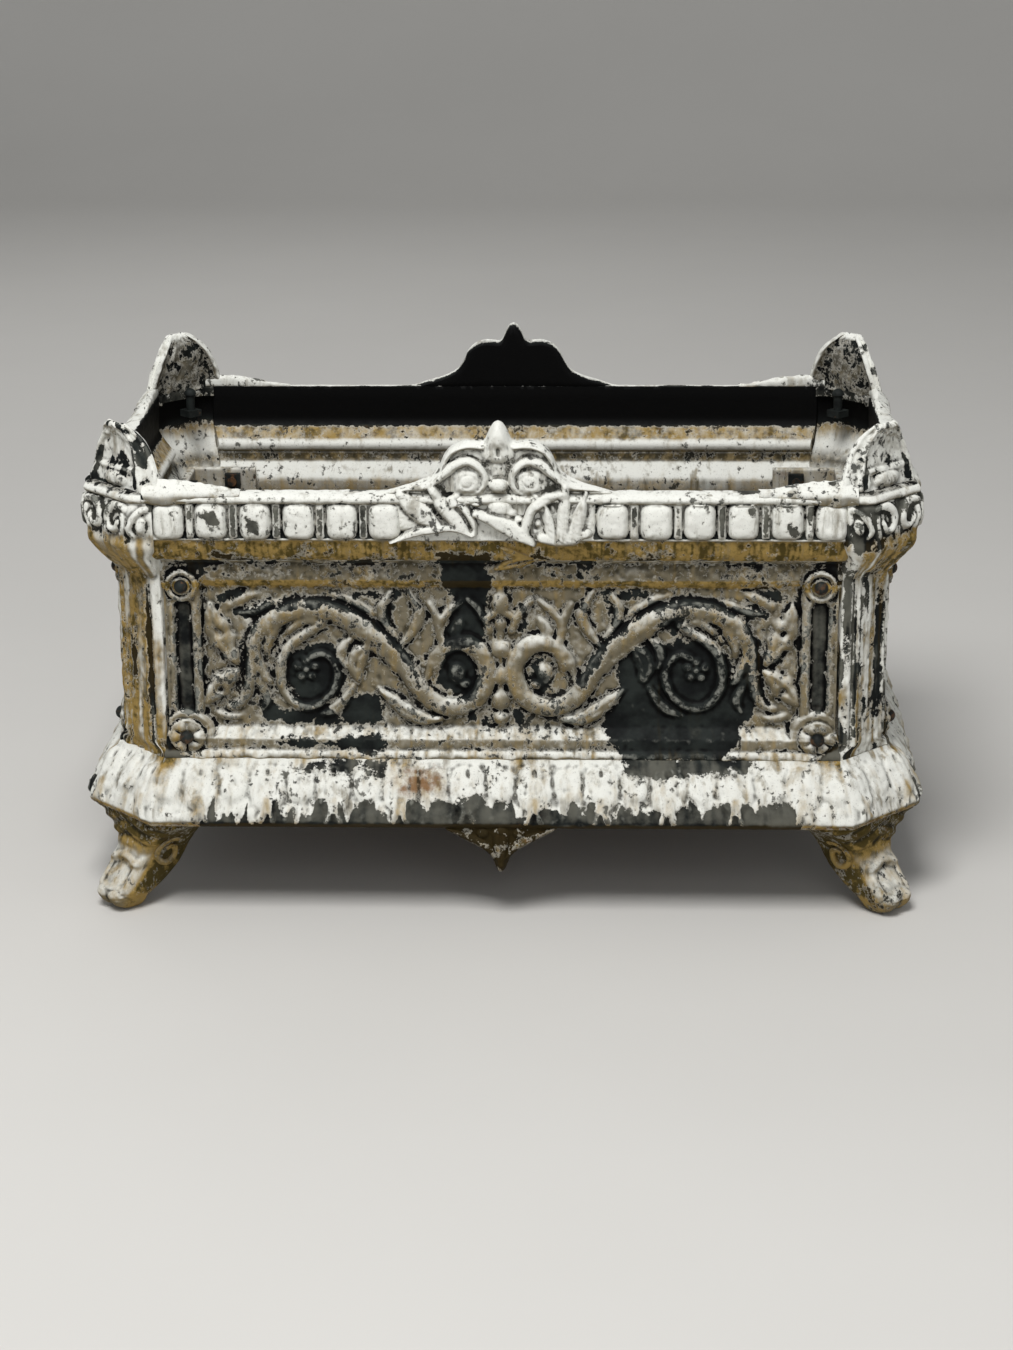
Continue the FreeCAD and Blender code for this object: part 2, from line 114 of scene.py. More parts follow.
def shell(points, marks, ring=False):
    """Closed surface from a (rows, columns, 3) grid: rows wrap round, columns too if ring, or get caps.

    Quads join each point to the next row and column. The signed volume, the sum of a . (b x c) / 6 over
    the triangles, tells whether the faces point inwards, and then they are turned round.
    """
    rows, columns = points.shape[:2]
    index = np.arange(rows * columns).reshape(rows, columns)
    down, across = np.roll(index, -1, 0), np.roll(index, -1, 1)
    both = np.roll(down, -1, 1)
    last = columns if ring else columns - 1
    quads = np.stack([index, down, both, across], -1)[:, :last].reshape(-1, 4)
    caps = [] if ring else [index[:, 0].tolist(), index[::-1, -1].tolist()]
    flat = points.reshape(-1, 3)
    a, b, c, d = (flat[quads[:, k]] - flat.mean(0) for k in range(4))
    volume = np.sum(a * np.cross(b, c)) + np.sum(a * np.cross(c, d))
    if volume < 0:
        quads = quads[:, ::-1]
        caps = [cap[::-1] for cap in caps]
    values = {m: np.broadcast_to(marks.get(m, 0.0), (rows, columns)).ravel() for m in MARKS}
    return {"points": flat, "quads": quads, "caps": caps, "marks": values}


def facing_up(points, quads):
    """Upward part of each vertex normal: face normals from the diagonals, summed at the corners."""
    p = points[quads]
    normal = np.cross(p[:, 2] - p[:, 0], p[:, 3] - p[:, 1])
    total = np.stack([np.bincount(quads.ravel(), np.repeat(normal[:, k], 4), len(points))
                      for k in range(3)], -1)
    return total[:, 2] / np.maximum(np.linalg.norm(total, axis=1), 1e-12)


print("marks of a shell:", MARKS)

# %% [markdown]
# ## Castings
# A real casting is one piece, even where its forms were drawn apart. So the shells of a piece are
# joined into one mesh object. Its marks become attributes, which materials can read, and the packed nodes
# that it dresses are hidden.

# %% Castings from shells
castings = []


def casting(name, shells, nodes):
    """Joins shells into one mesh object, stores the marks as attributes, hangs it under the root body and
    hides its packed nodes.
    """
    starts = np.cumsum([0] + [len(s["points"]) for s in shells])
    points = np.vstack([s["points"] for s in shells])
    faces = []
    for start, s in zip(starts, shells):
        faces += (s["quads"] + start).tolist()
        faces += [[i + int(start) for i in cap] for cap in s["caps"]]
    mesh = bpy.data.meshes.new(name)
    mesh.from_pydata(points, [], faces)
    mesh.polygons.foreach_set("use_smooth", np.ones(len(faces), bool))
    mesh.set_sharp_from_angle(angle=math.radians(CREASE))
    values = {m: np.concatenate([s["marks"][m] for s in shells]) for m in MARKS}
    # Upward part of the normals, used by the paint as painted top light: faces that look upwards are made
    # whiter.
    values["sky"] = np.concatenate([facing_up(s["points"], s["quads"]) for s in shells])
    for mark, data in values.items():
        mesh.attributes.new(mark, "FLOAT", "POINT").data.foreach_set("value", data.astype(np.float32))
    piece = bpy.data.objects.new(name, mesh)
    bpy.context.scene.collection.objects.link(piece)
    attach(piece, "root")
    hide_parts(*nodes)
    castings.append(piece)
    print("%-24s %7d faces" % (name, len(faces)))


def side_casting(kind, side, grid, marks):
    """One closed sheet on a side; the packed panel of that side is hidden."""
    casting(side + kind, [shell(to_side(grid, side), marks)], [side + "_panel"])


print("one more mark comes from the normals: sky")

# %% [markdown]
# ## A kit for carving relief
# Cast ornament is a height map: every point of the pattern has one height above its ground. Ribs, leaves
# and beads are strokes whose height depends on the distance to a curve, and the highest stroke wins, just
# as wax is added on a pattern. Distances to a curve are the least distance to its short straight pieces.

# %% Curves and distances
def spline(points, count):
    """Smooth curve through the points: cubic pieces whose slopes come from the neighbours on both sides."""
    p = np.asarray(points, float)
    padded = np.vstack([2 * p[0] - p[1], p, 2 * p[-1] - p[-2]])
    t = np.linspace(0, len(p) - 1, count)
    i = np.minimum(t.astype(int), len(p) - 2)
    f = (t - i)[:, None]
    a, b, c, d = (padded[i + k] for k in range(4))
    square, cube = 2 * a - 5 * b + 4 * c - d, 3 * b - a - 3 * c + d
    return 0.5 * (2 * b + (c - a) * f + square * f ** 2 + cube * f ** 3)


def nearest(path, u, z):
    """Least distance from points (u, z) to a polyline, and the share of the way along it where that is."""
    start, step = path[:-1], np.diff(path, axis=0)
    length2 = np.maximum((step ** 2).sum(1), 1e-9)
    du, dz = u[:, None] - start[:, 0], z[:, None] - start[:, 1]
    t = np.clip((du * step[:, 0] + dz * step[:, 1]) / length2, 0, 1)
    gap2 = (du - t * step[:, 0]) ** 2 + (dz - t * step[:, 1]) ** 2
    k = gap2.argmin(1)
    rows = np.arange(len(u))
    return np.sqrt(gap2[rows, k]), (k + t[rows, k]) / len(step)


def gap_to(path, u, z):
    """Least distance to a polyline for a whole grid of points."""
    return nearest(path, u.ravel(), z.ravel())[0].reshape(u.shape)


def close_to(path, reach, u, z):
    """Which points lie in the box round a polyline, widened by reach on all sides."""
    low, high = path.min(0) - reach, path.max(0) + reach
    return (u > low[0]) & (u < high[0]) & (z > low[1]) & (z < high[1])


def inside_by(outline, u, z):
    """Signed distance to a closed outline: positive where a level ray crosses it an odd number of times."""
    p = np.asarray(outline, float)
    closed = np.vstack([p, p[:1]])
    gap = gap_to(closed, u, z)
    odd = np.zeros(u.shape, bool)
    for (ua, za), (ub, zb) in zip(closed[:-1], closed[1:]):
        cross = (za > z) != (zb > z)
        odd ^= cross & (u < ua + (z - za) * (ub - ua) / (zb - za if zb != za else 1.0))
    return np.where(odd, gap, -gap)


quarter = spline([(1, 0), (0.7071, 0.7071), (0, 1)], 40)
print("quarter circle from three points: %.3f long" % np.hypot(*np.diff(quarter, axis=0).T).sum())

# %% [markdown]
# ## Softness and unevenness
# Nothing on old cast iron is quite sharp or quite even: sand blunts the edges, and every coat of paint
# fills the hollows. Averaging neighbours does the first. Seeded noise, averaged the same way, does the
# second and is alike in every run.

# %% Softening and noise
def soften(grid, passes, axes=(0, 1)):
    """Repeated 1-2-1 averaging down the rows, across them or both by turns, with the border held."""
    g = np.array(grid, float)
    for _ in range(passes):
        for axis in axes:
            a = np.moveaxis(g, axis, 0)
            a[1:-1] = (a[:-2] + 2 * a[1:-1] + a[2:]) / 4
    return g


def lumps(shape, seed, passes):
    """Soft unevenness of brushed paint: seeded white noise, softened and brought back to unit spread."""
    g = soften(np.random.default_rng(seed).standard_normal(shape), passes)
    return g / g.std()


def runs(shape, seed, length):
    """Unevenness drawn out down the rows, as stains run: rows of noise a length apart, joined straight."""
    rows = lumps((shape[0] // length + 2, shape[1]), seed, 1)
    at = np.arange(shape[0]) / length
    low = at.astype(int)
    f = (at - low)[:, None]
    return rows[low] * (1 - f) + rows[low + 1] * f


def ease(x, low, high):
    """Smooth step from 0 at low to 1 at high."""
    t = np.clip((x - low) / (high - low), 0, 1)
    return t * t * (3 - 2 * t)


print("spread of softened noise: %.2f" % lumps((60, 60), 1, 8).std())

# %% [markdown]
# ## Strokes
# A pattern maker lays ribs and leaves of wax on a board. Here a stroke is a curve with a half-width and
# a height that change along it, and one of four sections across it. The higher of two strokes stays, so
# they can be laid in any order.

# %% Strokes that raise a height map
FORMS = {
    "rib": lambda x: np.sqrt(1 - x ** 2),
    "band": lambda x: (1 - x ** 4) ** 0.5,
    "stem": lambda x: (1 - x ** 2.6) ** 0.5 * (1 - 0.1 * np.exp(-((x - 0.52) / 0.1) ** 2)),
    "leaf": lambda x: (1 - x ** 2) ** 0.7 * (1 - 0.34 * np.exp(-(x / 0.16) ** 2)),
}


class Relief:
    """Height map over a grid of (u, z); each mark raises it to its own height where that is higher."""

    def __init__(self, u, z):
        self.u, self.z = u, z
        self.height = np.zeros(u.shape)

    def stroke(self, points, width, height, form="rib", lobes=0):
        """Half-width and height run along the curve as listed; lobes scallops the edge that many times."""
        path = spline(points, 5 * len(points))
        near = close_to(path, np.max(width), self.u, self.z)
        gap, along = nearest(path, self.u[near], self.z[near])
        width, height = np.atleast_1d(width), np.atleast_1d(height)
        half = np.interp(along, np.linspace(0, 1, len(width)), width)
        if lobes:
            half = half * (0.72 + 0.28 * np.abs(np.sin(math.pi * lobes * along)))
        top = np.interp(along, np.linspace(0, 1, len(height)), height)
        raised = top * FORMS[form](np.clip(gap / np.maximum(half, 0.01), 0, 1))
        self.height[near] = np.maximum(self.height[near], raised)

    def dome(self, u, z, half_u, half_z, height, power=2.0):
        """Swelling over an ellipse: height times the root of one minus the scaled distance to a power."""
        gap = np.abs((self.u - u) / half_u) ** power + np.abs((self.z - z) / half_z) ** power
        self.height = np.maximum(self.height, height * np.sqrt(np.clip(1 - gap, 0, 1)))

    def cut(self, points, half, depth):
        """Trough along a curve: depth times the bell of the distance over the half-width."""
        gap = gap_to(spline(points, 30), self.u, self.z)
        self.height = self.height - depth * np.exp(-(gap / half) ** 2)

    def pit(self, u, z, half_u, half_z, depth):
        """Hollow pressed into whatever is there already."""
        gap = ((self.u - u) / half_u) ** 2 + ((self.z - z) / half_z) ** 2
        self.height = self.height - depth * np.clip(1 - gap, 0, 1)


print("sections of a stroke:", list(FORMS))

# %% [markdown]
# ## The section of a panel
# Seen from the end, a panel is a folded profile: a plinth bead, a sloping sill, the sunk field, the frame
# above it, then a quarter-round cove that carries the egg band and the rim. Cutting the profile at the
# cove gives two easy pieces, a field and a rim, and the joint falls on a line that is dark on the casting.

# %% Profiles of panel and rim
FIELD_LOW, FIELD_HIGH = seat_z + 29, seat_z + 165
COVE_Z = FIELD_HIGH + 30
BAND_LOW, BAND_HIGH = COVE_Z + 25, post_z
BOLT_LOW, BOLT_HIGH = seat_z + 21, FIELD_HIGH + 4
BOLT_IN, STILE = 35.0, 51.0
FRAME_D, FIELD_D, BAND_D = 37.0, 44.0, 19.0


def walk(profile, step, rounds=1):
    """Points about one step apart along a (d, z) profile, its corners kept and then eased a little."""
    p = np.asarray(profile, float)
    counts = [max(1, round(np.hypot(*(b - a)) / step)) for a, b in zip(p[:-1], p[1:])]
    parts = [a + (b - a) * np.linspace(0, 1, n, endpoint=False)[:, None]
             for a, b, n in zip(p[:-1], p[1:], counts)]
    return soften(np.vstack(parts + [p[-1:]]), rounds, [0])


def quarter_round(start, end, steps=8):
    """Quarter of an ellipse that leaves start level and arrives at end upright."""
    t = np.linspace(0, math.pi / 2, steps)
    across, rise = end[0] - start[0], end[1] - start[1]
    return [(start[0] + across * math.sin(k), end[1] - rise * math.cos(k)) for k in t]


FIELD_OUT = [(31, seat_z), (30, seat_z + 2), (31, seat_z + 6), (35, seat_z + 8), (35, seat_z + 18.5),
             (36.5, seat_z + 20), (FIELD_D, FIELD_LOW), (FIELD_D, FIELD_HIGH), (39, FIELD_HIGH + 5),
             (38.5, FIELD_HIGH + 7.5), (FRAME_D, FIELD_HIGH + 8), (FRAME_D, COVE_Z - 4), (34, COVE_Z - 2.5),
             (33, COVE_Z)]
FIELD_IN = [(43, COVE_Z), (42, COVE_Z - 3), (42, FIELD_HIGH + 20), (44, FIELD_HIGH + 18.5),
            (52.5, FIELD_HIGH + 6), (54, FIELD_HIGH + 3), (54, FIELD_HIGH - 8), (53, FIELD_HIGH - 12)]
WALL_IN = [(53, FIELD_HIGH - 12), (53, FIELD_LOW + 2), (44, FIELD_LOW - 11), (44, seat_z)]
RIM_OUT = (quarter_round((33, COVE_Z), (BAND_D + 2, BAND_LOW - 3.5))
           + [(BAND_D, BAND_LOW - 3), (BAND_D - 1, BAND_LOW - 1), (BAND_D, BAND_LOW + 1),
              (BAND_D, BAND_HIGH - 1), (15, BAND_HIGH), (RIM_D, BAND_HIGH + 3.5),
              (RIM_D + 0.6, BAND_HIGH + 6), (18, rim_z - 1.2), (24, rim_z), (28, rim_z + 0.3)])
RIM_IN = [(30.5, rim_z - 1), (31, BAND_HIGH), (29.5, BAND_LOW + 6), (33, BAND_LOW + 1),
          (43.5, BAND_LOW - 12), (46.5, BAND_LOW - 13.5), (47.5, BAND_LOW - 18), (45.5, BAND_LOW - 21),
          (43, COVE_Z)]


print("field %.0f to %.0f mm, egg band %.0f to %.0f mm" % (FIELD_LOW, FIELD_HIGH, BAND_LOW, BAND_HIGH))

# %% [markdown]
# ## Rows along a side
# The sides meet at the corners in mitred joints, like the mouldings of a picture frame. A boolean cut
# at each end would leave ragged faces in the relief. Instead every row is given its own mitred length,
# so the grid ends in the joint by itself.

# %% Mitred rows
def loop_grid(half_len, outer, inner, columns, fade=0.15):
    """Rows up the outside and down the inside; each row spans the mitred length at its own depth.

    u = s (half length - mitre * d) with s from -1 to 1, so the ends lie in the planes of the corner joints.
    """
    line = np.vstack([outer, inner])
    s = np.linspace(-1, 1, columns)
    d, z = line[:, :1], line[:, 1:]
    u = s * (half_len - MITRE * d - fade)
    return np.stack([u, np.broadcast_to(d, u.shape), np.broadcast_to(z, u.shape)], -1)


def pressed(depth, passes=5, scale=1.2):
    """How far each point lies below the surface around it: its depth less the softened depth."""
    return np.clip((depth - soften(depth, passes)) / scale, -1, 1)


FIELD_ROWS, RIM_ROWS = walk(FIELD_OUT, 1.35, 2), walk(RIM_OUT, 1.05, 1)
print("rows up the field and the rim:", len(FIELD_ROWS), len(RIM_ROWS))

# %% [markdown]
# ## Scrollwork of the long panels
# Each half of the panel has one S-shaped stem: it rises from a tail beside the stile, swings over in a
# great arch, dives to the middle and curls up into a small ring. Leaves, an inner spiral with a flower,
# and a column of buds fill the gaps. Both halves mirror each other, so strokes are laid on |u| once.

# %% Scroll drawing
STEM = [(256, 199), (246, 204), (240, 213), (236, 228), (233, 246), (231, 262), (226, 274), (217, 284),
        (205, 291), (190, 296), (170, 297), (150, 291), (132, 280), (109, 263), (98, 252), (88, 238),
        (78, 221), (66, 208), (52, 201), (37, 202), (23, 210), (15, 223), (12, 238), (18, 253), (30, 263),
        (45, 263), (56, 255), (60, 242)]
STEM_HALF = [3, 6, 8.5, 10.5, 10.5, 9.5, 9, 9.5, 9, 6]
STEM_TALL = [5, 7, 8.5, 9.2, 9, 8.6, 9, 9.6, 9, 6]
INNER_SPIRAL = [(163, 286), (179, 275), (194, 264), (203, 252), (207, 238), (206, 221), (198, 207),
                (184, 200), (169, 205), (158, 217), (154, 233), (158, 246), (168, 253), (178, 250)]
BLADES = [
    ([(232, 263), (230, 252), (226, 240), (221, 229), (216, 224)], [2, 5, 5, 4, 1], 8),
    ([(99, 237), (104, 245), (115, 255), (127, 265), (142, 274)], [2, 3, 3.4, 3, 1.5], 7),
    ([(58, 189), (74, 189), (90, 197), (103, 208), (116, 219)], [3, 7, 8, 6, 1], 8.5),
    ([(138, 222), (147, 208), (158, 198), (170, 193)], [1, 5, 6, 2], 6),
    ([(206, 285), (213, 274), (219, 262), (220, 250)], [2, 5, 5, 1], 7),
    ([(166, 283), (176, 287), (190, 283), (199, 274)], [2, 5, 5, 2], 8),
    ([(122, 262), (131, 254), (136, 243), (134, 230)], [3, 9, 11, 5], 6.5),
    ([(140, 268), (147, 260), (150, 250), (147, 240)], [2, 5, 6, 2], 6),
    ([(232, 236), (226, 222), (221, 208), (226, 196)], [2, 5, 5, 1], 6),
    ([(54, 262), (57, 275), (60, 290), (66, 302)], [4, 4.5, 4, 2], 6),
    ([(58, 260), (64, 250), (68, 234), (73, 220)], [3, 3.5, 3, 1.5], 5),
    ([(10, 276), (15, 288), (22, 299), (31, 307)], [3, 4, 4, 2], 6),
    ([(36, 305), (49, 294), (58, 280), (54, 267)], [2, 4, 4, 2], 6),
    ([(93, 262), (82, 276), (76, 292), (86, 314)], [2, 5, 6, 1], 7),
    ([(97, 268), (108, 284), (110, 299), (102, 313)], [2, 4.5, 5, 1], 6.5),
    ([(118, 290), (128, 298), (142, 306), (158, 310)], [1, 4, 4, 1], 4),
    ([(204, 305), (218, 300), (232, 294), (246, 293)], [1, 4, 4, 1], 4.5),
]
LOBED_LEAVES = [
    ([(248, 244), (256, 256), (264, 272), (270, 287), (272, 302)], [3, 11, 15, 11, 1], 7.5, 4),
    ([(247, 236), (257, 228), (268, 217), (280, 203)], [3, 11, 13, 2], 7.5, 3),
    ([(252, 300), (240, 307), (228, 311)], [5, 6, 1], 5, 2),
    ([(268, 193), (258, 190), (247, 190)], [3, 5, 1], 5, 2),
    ([(44, 268), (42, 278), (36, 288)], [6, 8, 2], 4.5, 2),
]
FLOWER, PETALS = (183, 238), 5
PITS = [(161, 284), (263, 274), (266, 255), (264, 217), (98, 300), (23, 283)]
BUDS = [(303, 8.5, 11), (283, 6, 7), (258, 10, 10), (233, 10, 11), (208, 9.5, 10), (190, 7, 7)]
print("strokes of one half:", 2 + len(BLADES) + len(LOBED_LEAVES))

# %% [markdown]
# ## Carving the scrolls
# On the real casting the stem is a broad band with softened edges, and leaves grow out of it. The
# drawing above is laid stroke by stroke on the height map; the flower is a ring of domes, and the dark
# pits between leaves are pressed in last.

# %% Carve scrolls and buds
def carve_scrolls(relief):
    """Stem as a broad band with rounded edges, then spiral, blades, lobed leaves, flower and eye."""
    relief.stroke(STEM, STEM_HALF, STEM_TALL, "stem")
    relief.stroke(INNER_SPIRAL, [5, 5, 4.6, 4.2, 3.6], [8, 7, 6, 5.5, 5])
    for points, width, height in BLADES:
        relief.stroke(points, width, height, "leaf")
    for points, width, height, lobes in LOBED_LEAVES:
        relief.stroke(points, width, height, "leaf", lobes)
    flower_u, flower_z = FLOWER
    for k in range(PETALS):
        turn = 2 * math.pi * k / PETALS + 0.3
        relief.dome(flower_u + 8 * math.cos(turn), flower_z + 8 * math.sin(turn), 4.6, 4.6, 5.5)
    relief.dome(flower_u, flower_z, 4, 4, 7)
    relief.dome(41, 234, 8, 11, 6.5)
    relief.dome(34, 224, 6, 5, 5)
    for u, z in PITS:
        relief.pit(u, z, 5.5, 5, 5.5)


def carve_column(relief):
    """Column of buds down the middle, on a thin spine."""
    relief.stroke([(0, FIELD_LOW + 2), (0, FIELD_HIGH - 2)], 3.5, 4)
    for z, half, tall in BUDS:
        relief.dome(0, z, half, tall, 8.5)
    relief.stroke([(0, 296), (9, 291), (14, 283)], [4, 4, 1], 6, "leaf")
    relief.stroke([(0, 246), (8, 250), (15, 258)], [3, 3.4, 1], 5, "leaf")


def carve_end(relief):
    """The ends repeat the arch: |u| is stretched so that the scroll fills half of the narrower field."""
    stretched = Relief(92 + 1.44 * relief.u, relief.z)
    carve_scrolls(stretched)
    relief.height = np.maximum(relief.height, stretched.height)
    carve_column(relief)


def carve_long(relief):
    """A long side has the whole scroll on each half and the buds between them."""
    carve_scrolls(relief)
    carve_column(relief)


print("buds in the middle column:", len(BUDS))

# %% [markdown]
# ## Stiles and bolt bosses
# At both ends of a panel an upright stile with a sunk flute stands between two bosses, where the bolts
# go through. They could be separate rings and bars. As part of the same height map they blend into the
# frame, as cast metal does.

# %% Stiles and bosses
def carve_frame(relief, half_len):
    """Stiles raised to the frame, each with a sunk flute in a bead, and a fine bead along the panel's end."""
    u, z = relief.u, relief.z
    inner = half_len - STILE
    bolt_u = half_len - BOLT_IN
    rise = FIELD_D - FRAME_D
    inside = (z > FIELD_LOW - 10) & (z < FIELD_HIGH + 9)
    stile = rise * ease(u, inner - 2.2, inner + 1.2) * inside * ease(z, FIELD_LOW - 12, FIELD_LOW - 4)
    stile = stile * (1 - ease(z, FIELD_HIGH + 3, FIELD_HIGH + 9))
    relief.height = np.maximum(relief.height, stile)
    middle, tall = (FIELD_LOW + FIELD_HIGH) / 2 + 1, 54.0
    gap = np.hypot(np.maximum(np.abs(z - middle) - tall + 6, 0) * 0.9, u - bolt_u) - 8.0
    flute = ease(-gap, -1.2, 1.5)
    bead = np.exp(-((gap - 2.4) / 1.4) ** 2) * 1.1
    relief.height = np.where(inside, relief.height * (1 - 0.95 * flute) + bead * (np.abs(gap) < 6),
                             relief.height)
    edge = half_len - MITRE * FRAME_D - 3.4
    relief.height = relief.height + 1.3 * np.exp(-((u - edge) / 1.7) ** 2) * ease(z, seat_z + 8, seat_z + 14)


def boss_depth(u, z, depth, half_len):
    """Bolt bosses by absolute depth: a ringed disc above, a disc with a ring of petals below."""
    du, dz = u - half_len + BOLT_IN, z - BOLT_LOW
    r = np.hypot(du, z - BOLT_HIGH)
    ringed = 33.0 + 1.6 * np.exp(-((r - 9.6) / 1.3) ** 2) - np.exp(-((r - 13) / 1.6) ** 2)
    depth = np.where(r < 17.5, np.minimum(depth, ringed + 14 * ease(r, 14.6, 17.5)), depth)
    r, turn = np.hypot(du, dz), np.arctan2(dz, du)
    plinth = 34.4 + 10 * ease(r, 23, 29)
    depth = np.where((r < 30) & (dz > -17), np.minimum(depth, plinth), depth)
    petal = np.abs(np.cos(3 * turn)) ** 0.8 * np.sqrt(np.clip(1 - ((r - 10.4) / 4.2) ** 2, 0, 1))
    rose = 32.6 - 3.6 * petal - 1.2 * np.exp(-((r - 15.6) / 1.2) ** 2)
    return np.where(r < 18.5, np.minimum(depth, rose + 12 * ease(r, 16.4, 18.5)), depth)


print("bolt lines at %.0f and %.0f mm" % (BOLT_LOW, BOLT_HIGH))

# %% [markdown]
# ## Where the paint has gone
# The old paint hangs on in most places and has flaked off in a few large ones, showing blackened iron.
# Painting those by hand would need a picture. Instead each vertex stores a signed distance to a few
# outlines, and the material later breaks the edge up with noise, so it stays sharp at any zoom.

# %% Bare patches
FRONT_PATCHES = [
    [(97, 182), (115, 150), (205, 150), (224, 166), (225, 181), (236, 187), (238, 207), (236, 233),
     (231, 247), (219, 232), (212, 250), (200, 262), (188, 268), (161, 266), (134, 264), (109, 248),
     (112, 221), (104, 201)],
    [(147, 282), (158, 293), (172, 290), (176, 279), (161, 274)],
    [(-205, 242), (-198, 254), (-181, 260), (-165, 263), (-153, 257), (-146, 242), (-146, 225),
     (-152, 210), (-171, 200), (-190, 200), (-201, 222)],
    [(-157, 192), (-147, 205), (-133, 212), (-119, 212), (-111, 202), (-111, 186), (-124, 181),
     (-150, 184)],
    [(-230, 204), (-218, 212), (-208, 197), (-190, 200), (-157, 200), (-148, 185), (-157, 182),
     (-210, 184), (-226, 187)],
    [(-212, 167), (-207, 171), (-157, 169), (-143, 174), (-115, 174), (-108, 164), (-110, 157),
     (-129, 156), (-150, 163), (-200, 161)],
    [(-57, 356), (-8, 356), (-9, 321), (-13, 301), (-13, 272), (-29, 260), (-52, 262), (-54, 274),
     (-49, 289), (-45, 306), (-56, 322)],
    [(-61, 240), (-52, 256), (-38, 260), (-24, 250), (-18, 230), (-22, 215), (-33, 207), (-50, 214),
     (-60, 223)],
    [(-34, 200), (-22, 200), (-24, 187), (-32, 184)],
    [(27, 232), (33, 250), (46, 253), (38, 240), (52, 219), (39, 215), (30, 224)],
]
BACK_PATCHES = [
    [(-235, 200), (-228, 250), (-190, 268), (-140, 262), (-118, 236), (-122, 196), (-160, 176), (-215, 180)],
    [(60, 180), (64, 214), (96, 226), (122, 204), (118, 182), (90, 176)],
    [(150, 226), (160, 262), (196, 270), (214, 240), (190, 214)],
    [(-20, 356), (30, 356), (24, 316), (-8, 300)],
    [(120, 157), (124, 173), (214, 173), (220, 157)],
]
END_PATCHES = [
    [(-92, 176), (-96, 214), (-70, 246), (-34, 236), (-26, 196), (-50, 174)],
    [(40, 240), (56, 272), (88, 266), (92, 236), (66, 222)],
    [(10, 158), (14, 172), (78, 172), (84, 158)],
]
CRACKS = [
    ([(76, 226), (82, 238), (94, 259), (106, 273), (120, 285), (134, 296), (155, 303), (170, 305),
      (185, 306), (198, 304), (214, 298), (232, 292), (245, 293)], 4.2),
    ([(230, 281), (236, 271), (242, 263), (250, 254), (262, 247)], 2.6),
    ([(239, 262), (240, 239), (245, 216), (252, 202)], 2.4),
    ([(98, 311), (104, 298), (107, 286)], 4.0),
    ([(118, 311), (134, 311)], 4.4),
    ([(262, 308), (244, 312)], 3.6),
    ([(76, 300), (84, 291)], 2.6),
    ([(150, 189), (138, 196), (131, 190)], 3.0),
    ([(280, 232), (283, 252), (279, 268)], 2.4),
    ([(14, 196), (16, 186)], 2.6),
    ([(20, 300), (24, 286), (18, 276)], 2.6),
]
print("patches front, back, end:", len(FRONT_PATCHES), len(BACK_PATCHES), len(END_PATCHES))

# %% [markdown]
# ## Distance to bare iron
# A patch is a closed outline and a crack is a line with a width. Both are turned into one measure,
# positive on bare iron and falling to -1 away from it. Because it falls evenly over some millimetres,
# noise can move the edge without tearing it.

# %% Distances to bare iron
EDGE_WIDTH = 14.0


def bare_iron(u, z, patches):
    """Signed distance to the nearest patch outline over the edge width, between -1 far outside and 1."""
    field = np.full(u.shape, -1.0)
    for outline in patches:
        near = close_to(np.asarray(outline, float), EDGE_WIDTH + 1, u, z)
        field[near] = np.maximum(field[near], inside_by(outline, u[near], z[near]) / EDGE_WIDTH)
    return np.clip(field, -1, 1)


def cracked(u, z, line, half):
    """The same measure for a crack: how far a point lies within half the crack's width of its line."""
    gap = gap_to(spline(line, 60), u, z)
    return np.clip((half - gap) / EDGE_WIDTH, -1, 1)


def flute_bare(u, z, half_len):
    """Bare iron in the flutes of the stiles."""
    gap = np.hypot(np.maximum(np.abs(z - (FIELD_LOW + FIELD_HIGH) / 2 - 1) - 46, 0), u - half_len + BOLT_IN)
    return np.clip((9.0 - gap) / EDGE_WIDTH, -1, 1)


print("a patch edge spreads over %.0f mm" % EDGE_WIDTH)

# %% [markdown]
# ## Inside the trough
# The inner wall is stepped: bare iron under the rim, painted black as shade, a rusty slope, then pale
# ledges and dark grooves, painted as light on the ledges and as shade in the grooves. These bands follow the
# level only, so they are written as steps in z.
# The same marks serve every side and every post.

# %% Marks of the inner wall
def inner_marks(z):
    """Colours inside the trough by level: black painted shade under the rim, a rusty slope, pale ledges as
    painted light, dark grooves as painted shade.
    """
    # Painted shade: the band under the rim is bare iron made near black.
    black = ease(z, BAND_LOW - 1, BAND_LOW + 5)
    slope = ease(z, BAND_LOW - 13, BAND_LOW - 10) * (1 - black)
    groove = ease(z, FIELD_HIGH + 19, FIELD_HIGH + 21) * (1 - ease(z, COVE_Z, COVE_Z + 4))
    riser = ease(z, FIELD_HIGH - 14, FIELD_HIGH - 10) * (1 - ease(z, FIELD_HIGH + 2, FIELD_HIGH + 5))
    low = 1 - ease(z, FIELD_HIGH - 60, FIELD_HIGH - 10)
    # Painted light and shade: ledges made pale as if lit from above, grooves and risers darkened.
    pale = 1 - np.maximum.reduce([black, slope, groove, 0.7 * riser, low])
    return {"bare": 1.7 * black - 0.66 + 0.4 * low + 0.34 * groove + 0.25 * riser + 0.36 * slope,
            "rust": 0.14 * slope + 0.3 * low, "hollow": black + 0.55 * groove + 0.25 * riser + 0.12 * slope,
            "bright": 0.95 * pale + 0.34 * slope + 0.15 * riser,
            "ochre": 0.14 * pale + 0.66 * slope + 0.4 * groove + 0.4 * riser + 0.3 * low}


def stacked(outer_marks, inner_z, columns):
    """Puts the marks of the outer rows above those of the inner rows; a mark that isn't given is 0."""
    inner = inner_marks(inner_z[:, None] * np.ones(columns))
    shape = outer_marks["hollow"].shape
    return {m: np.vstack([np.broadcast_to(outer_marks.get(m, 0.0), shape), inner[m]]) for m in MARKS}


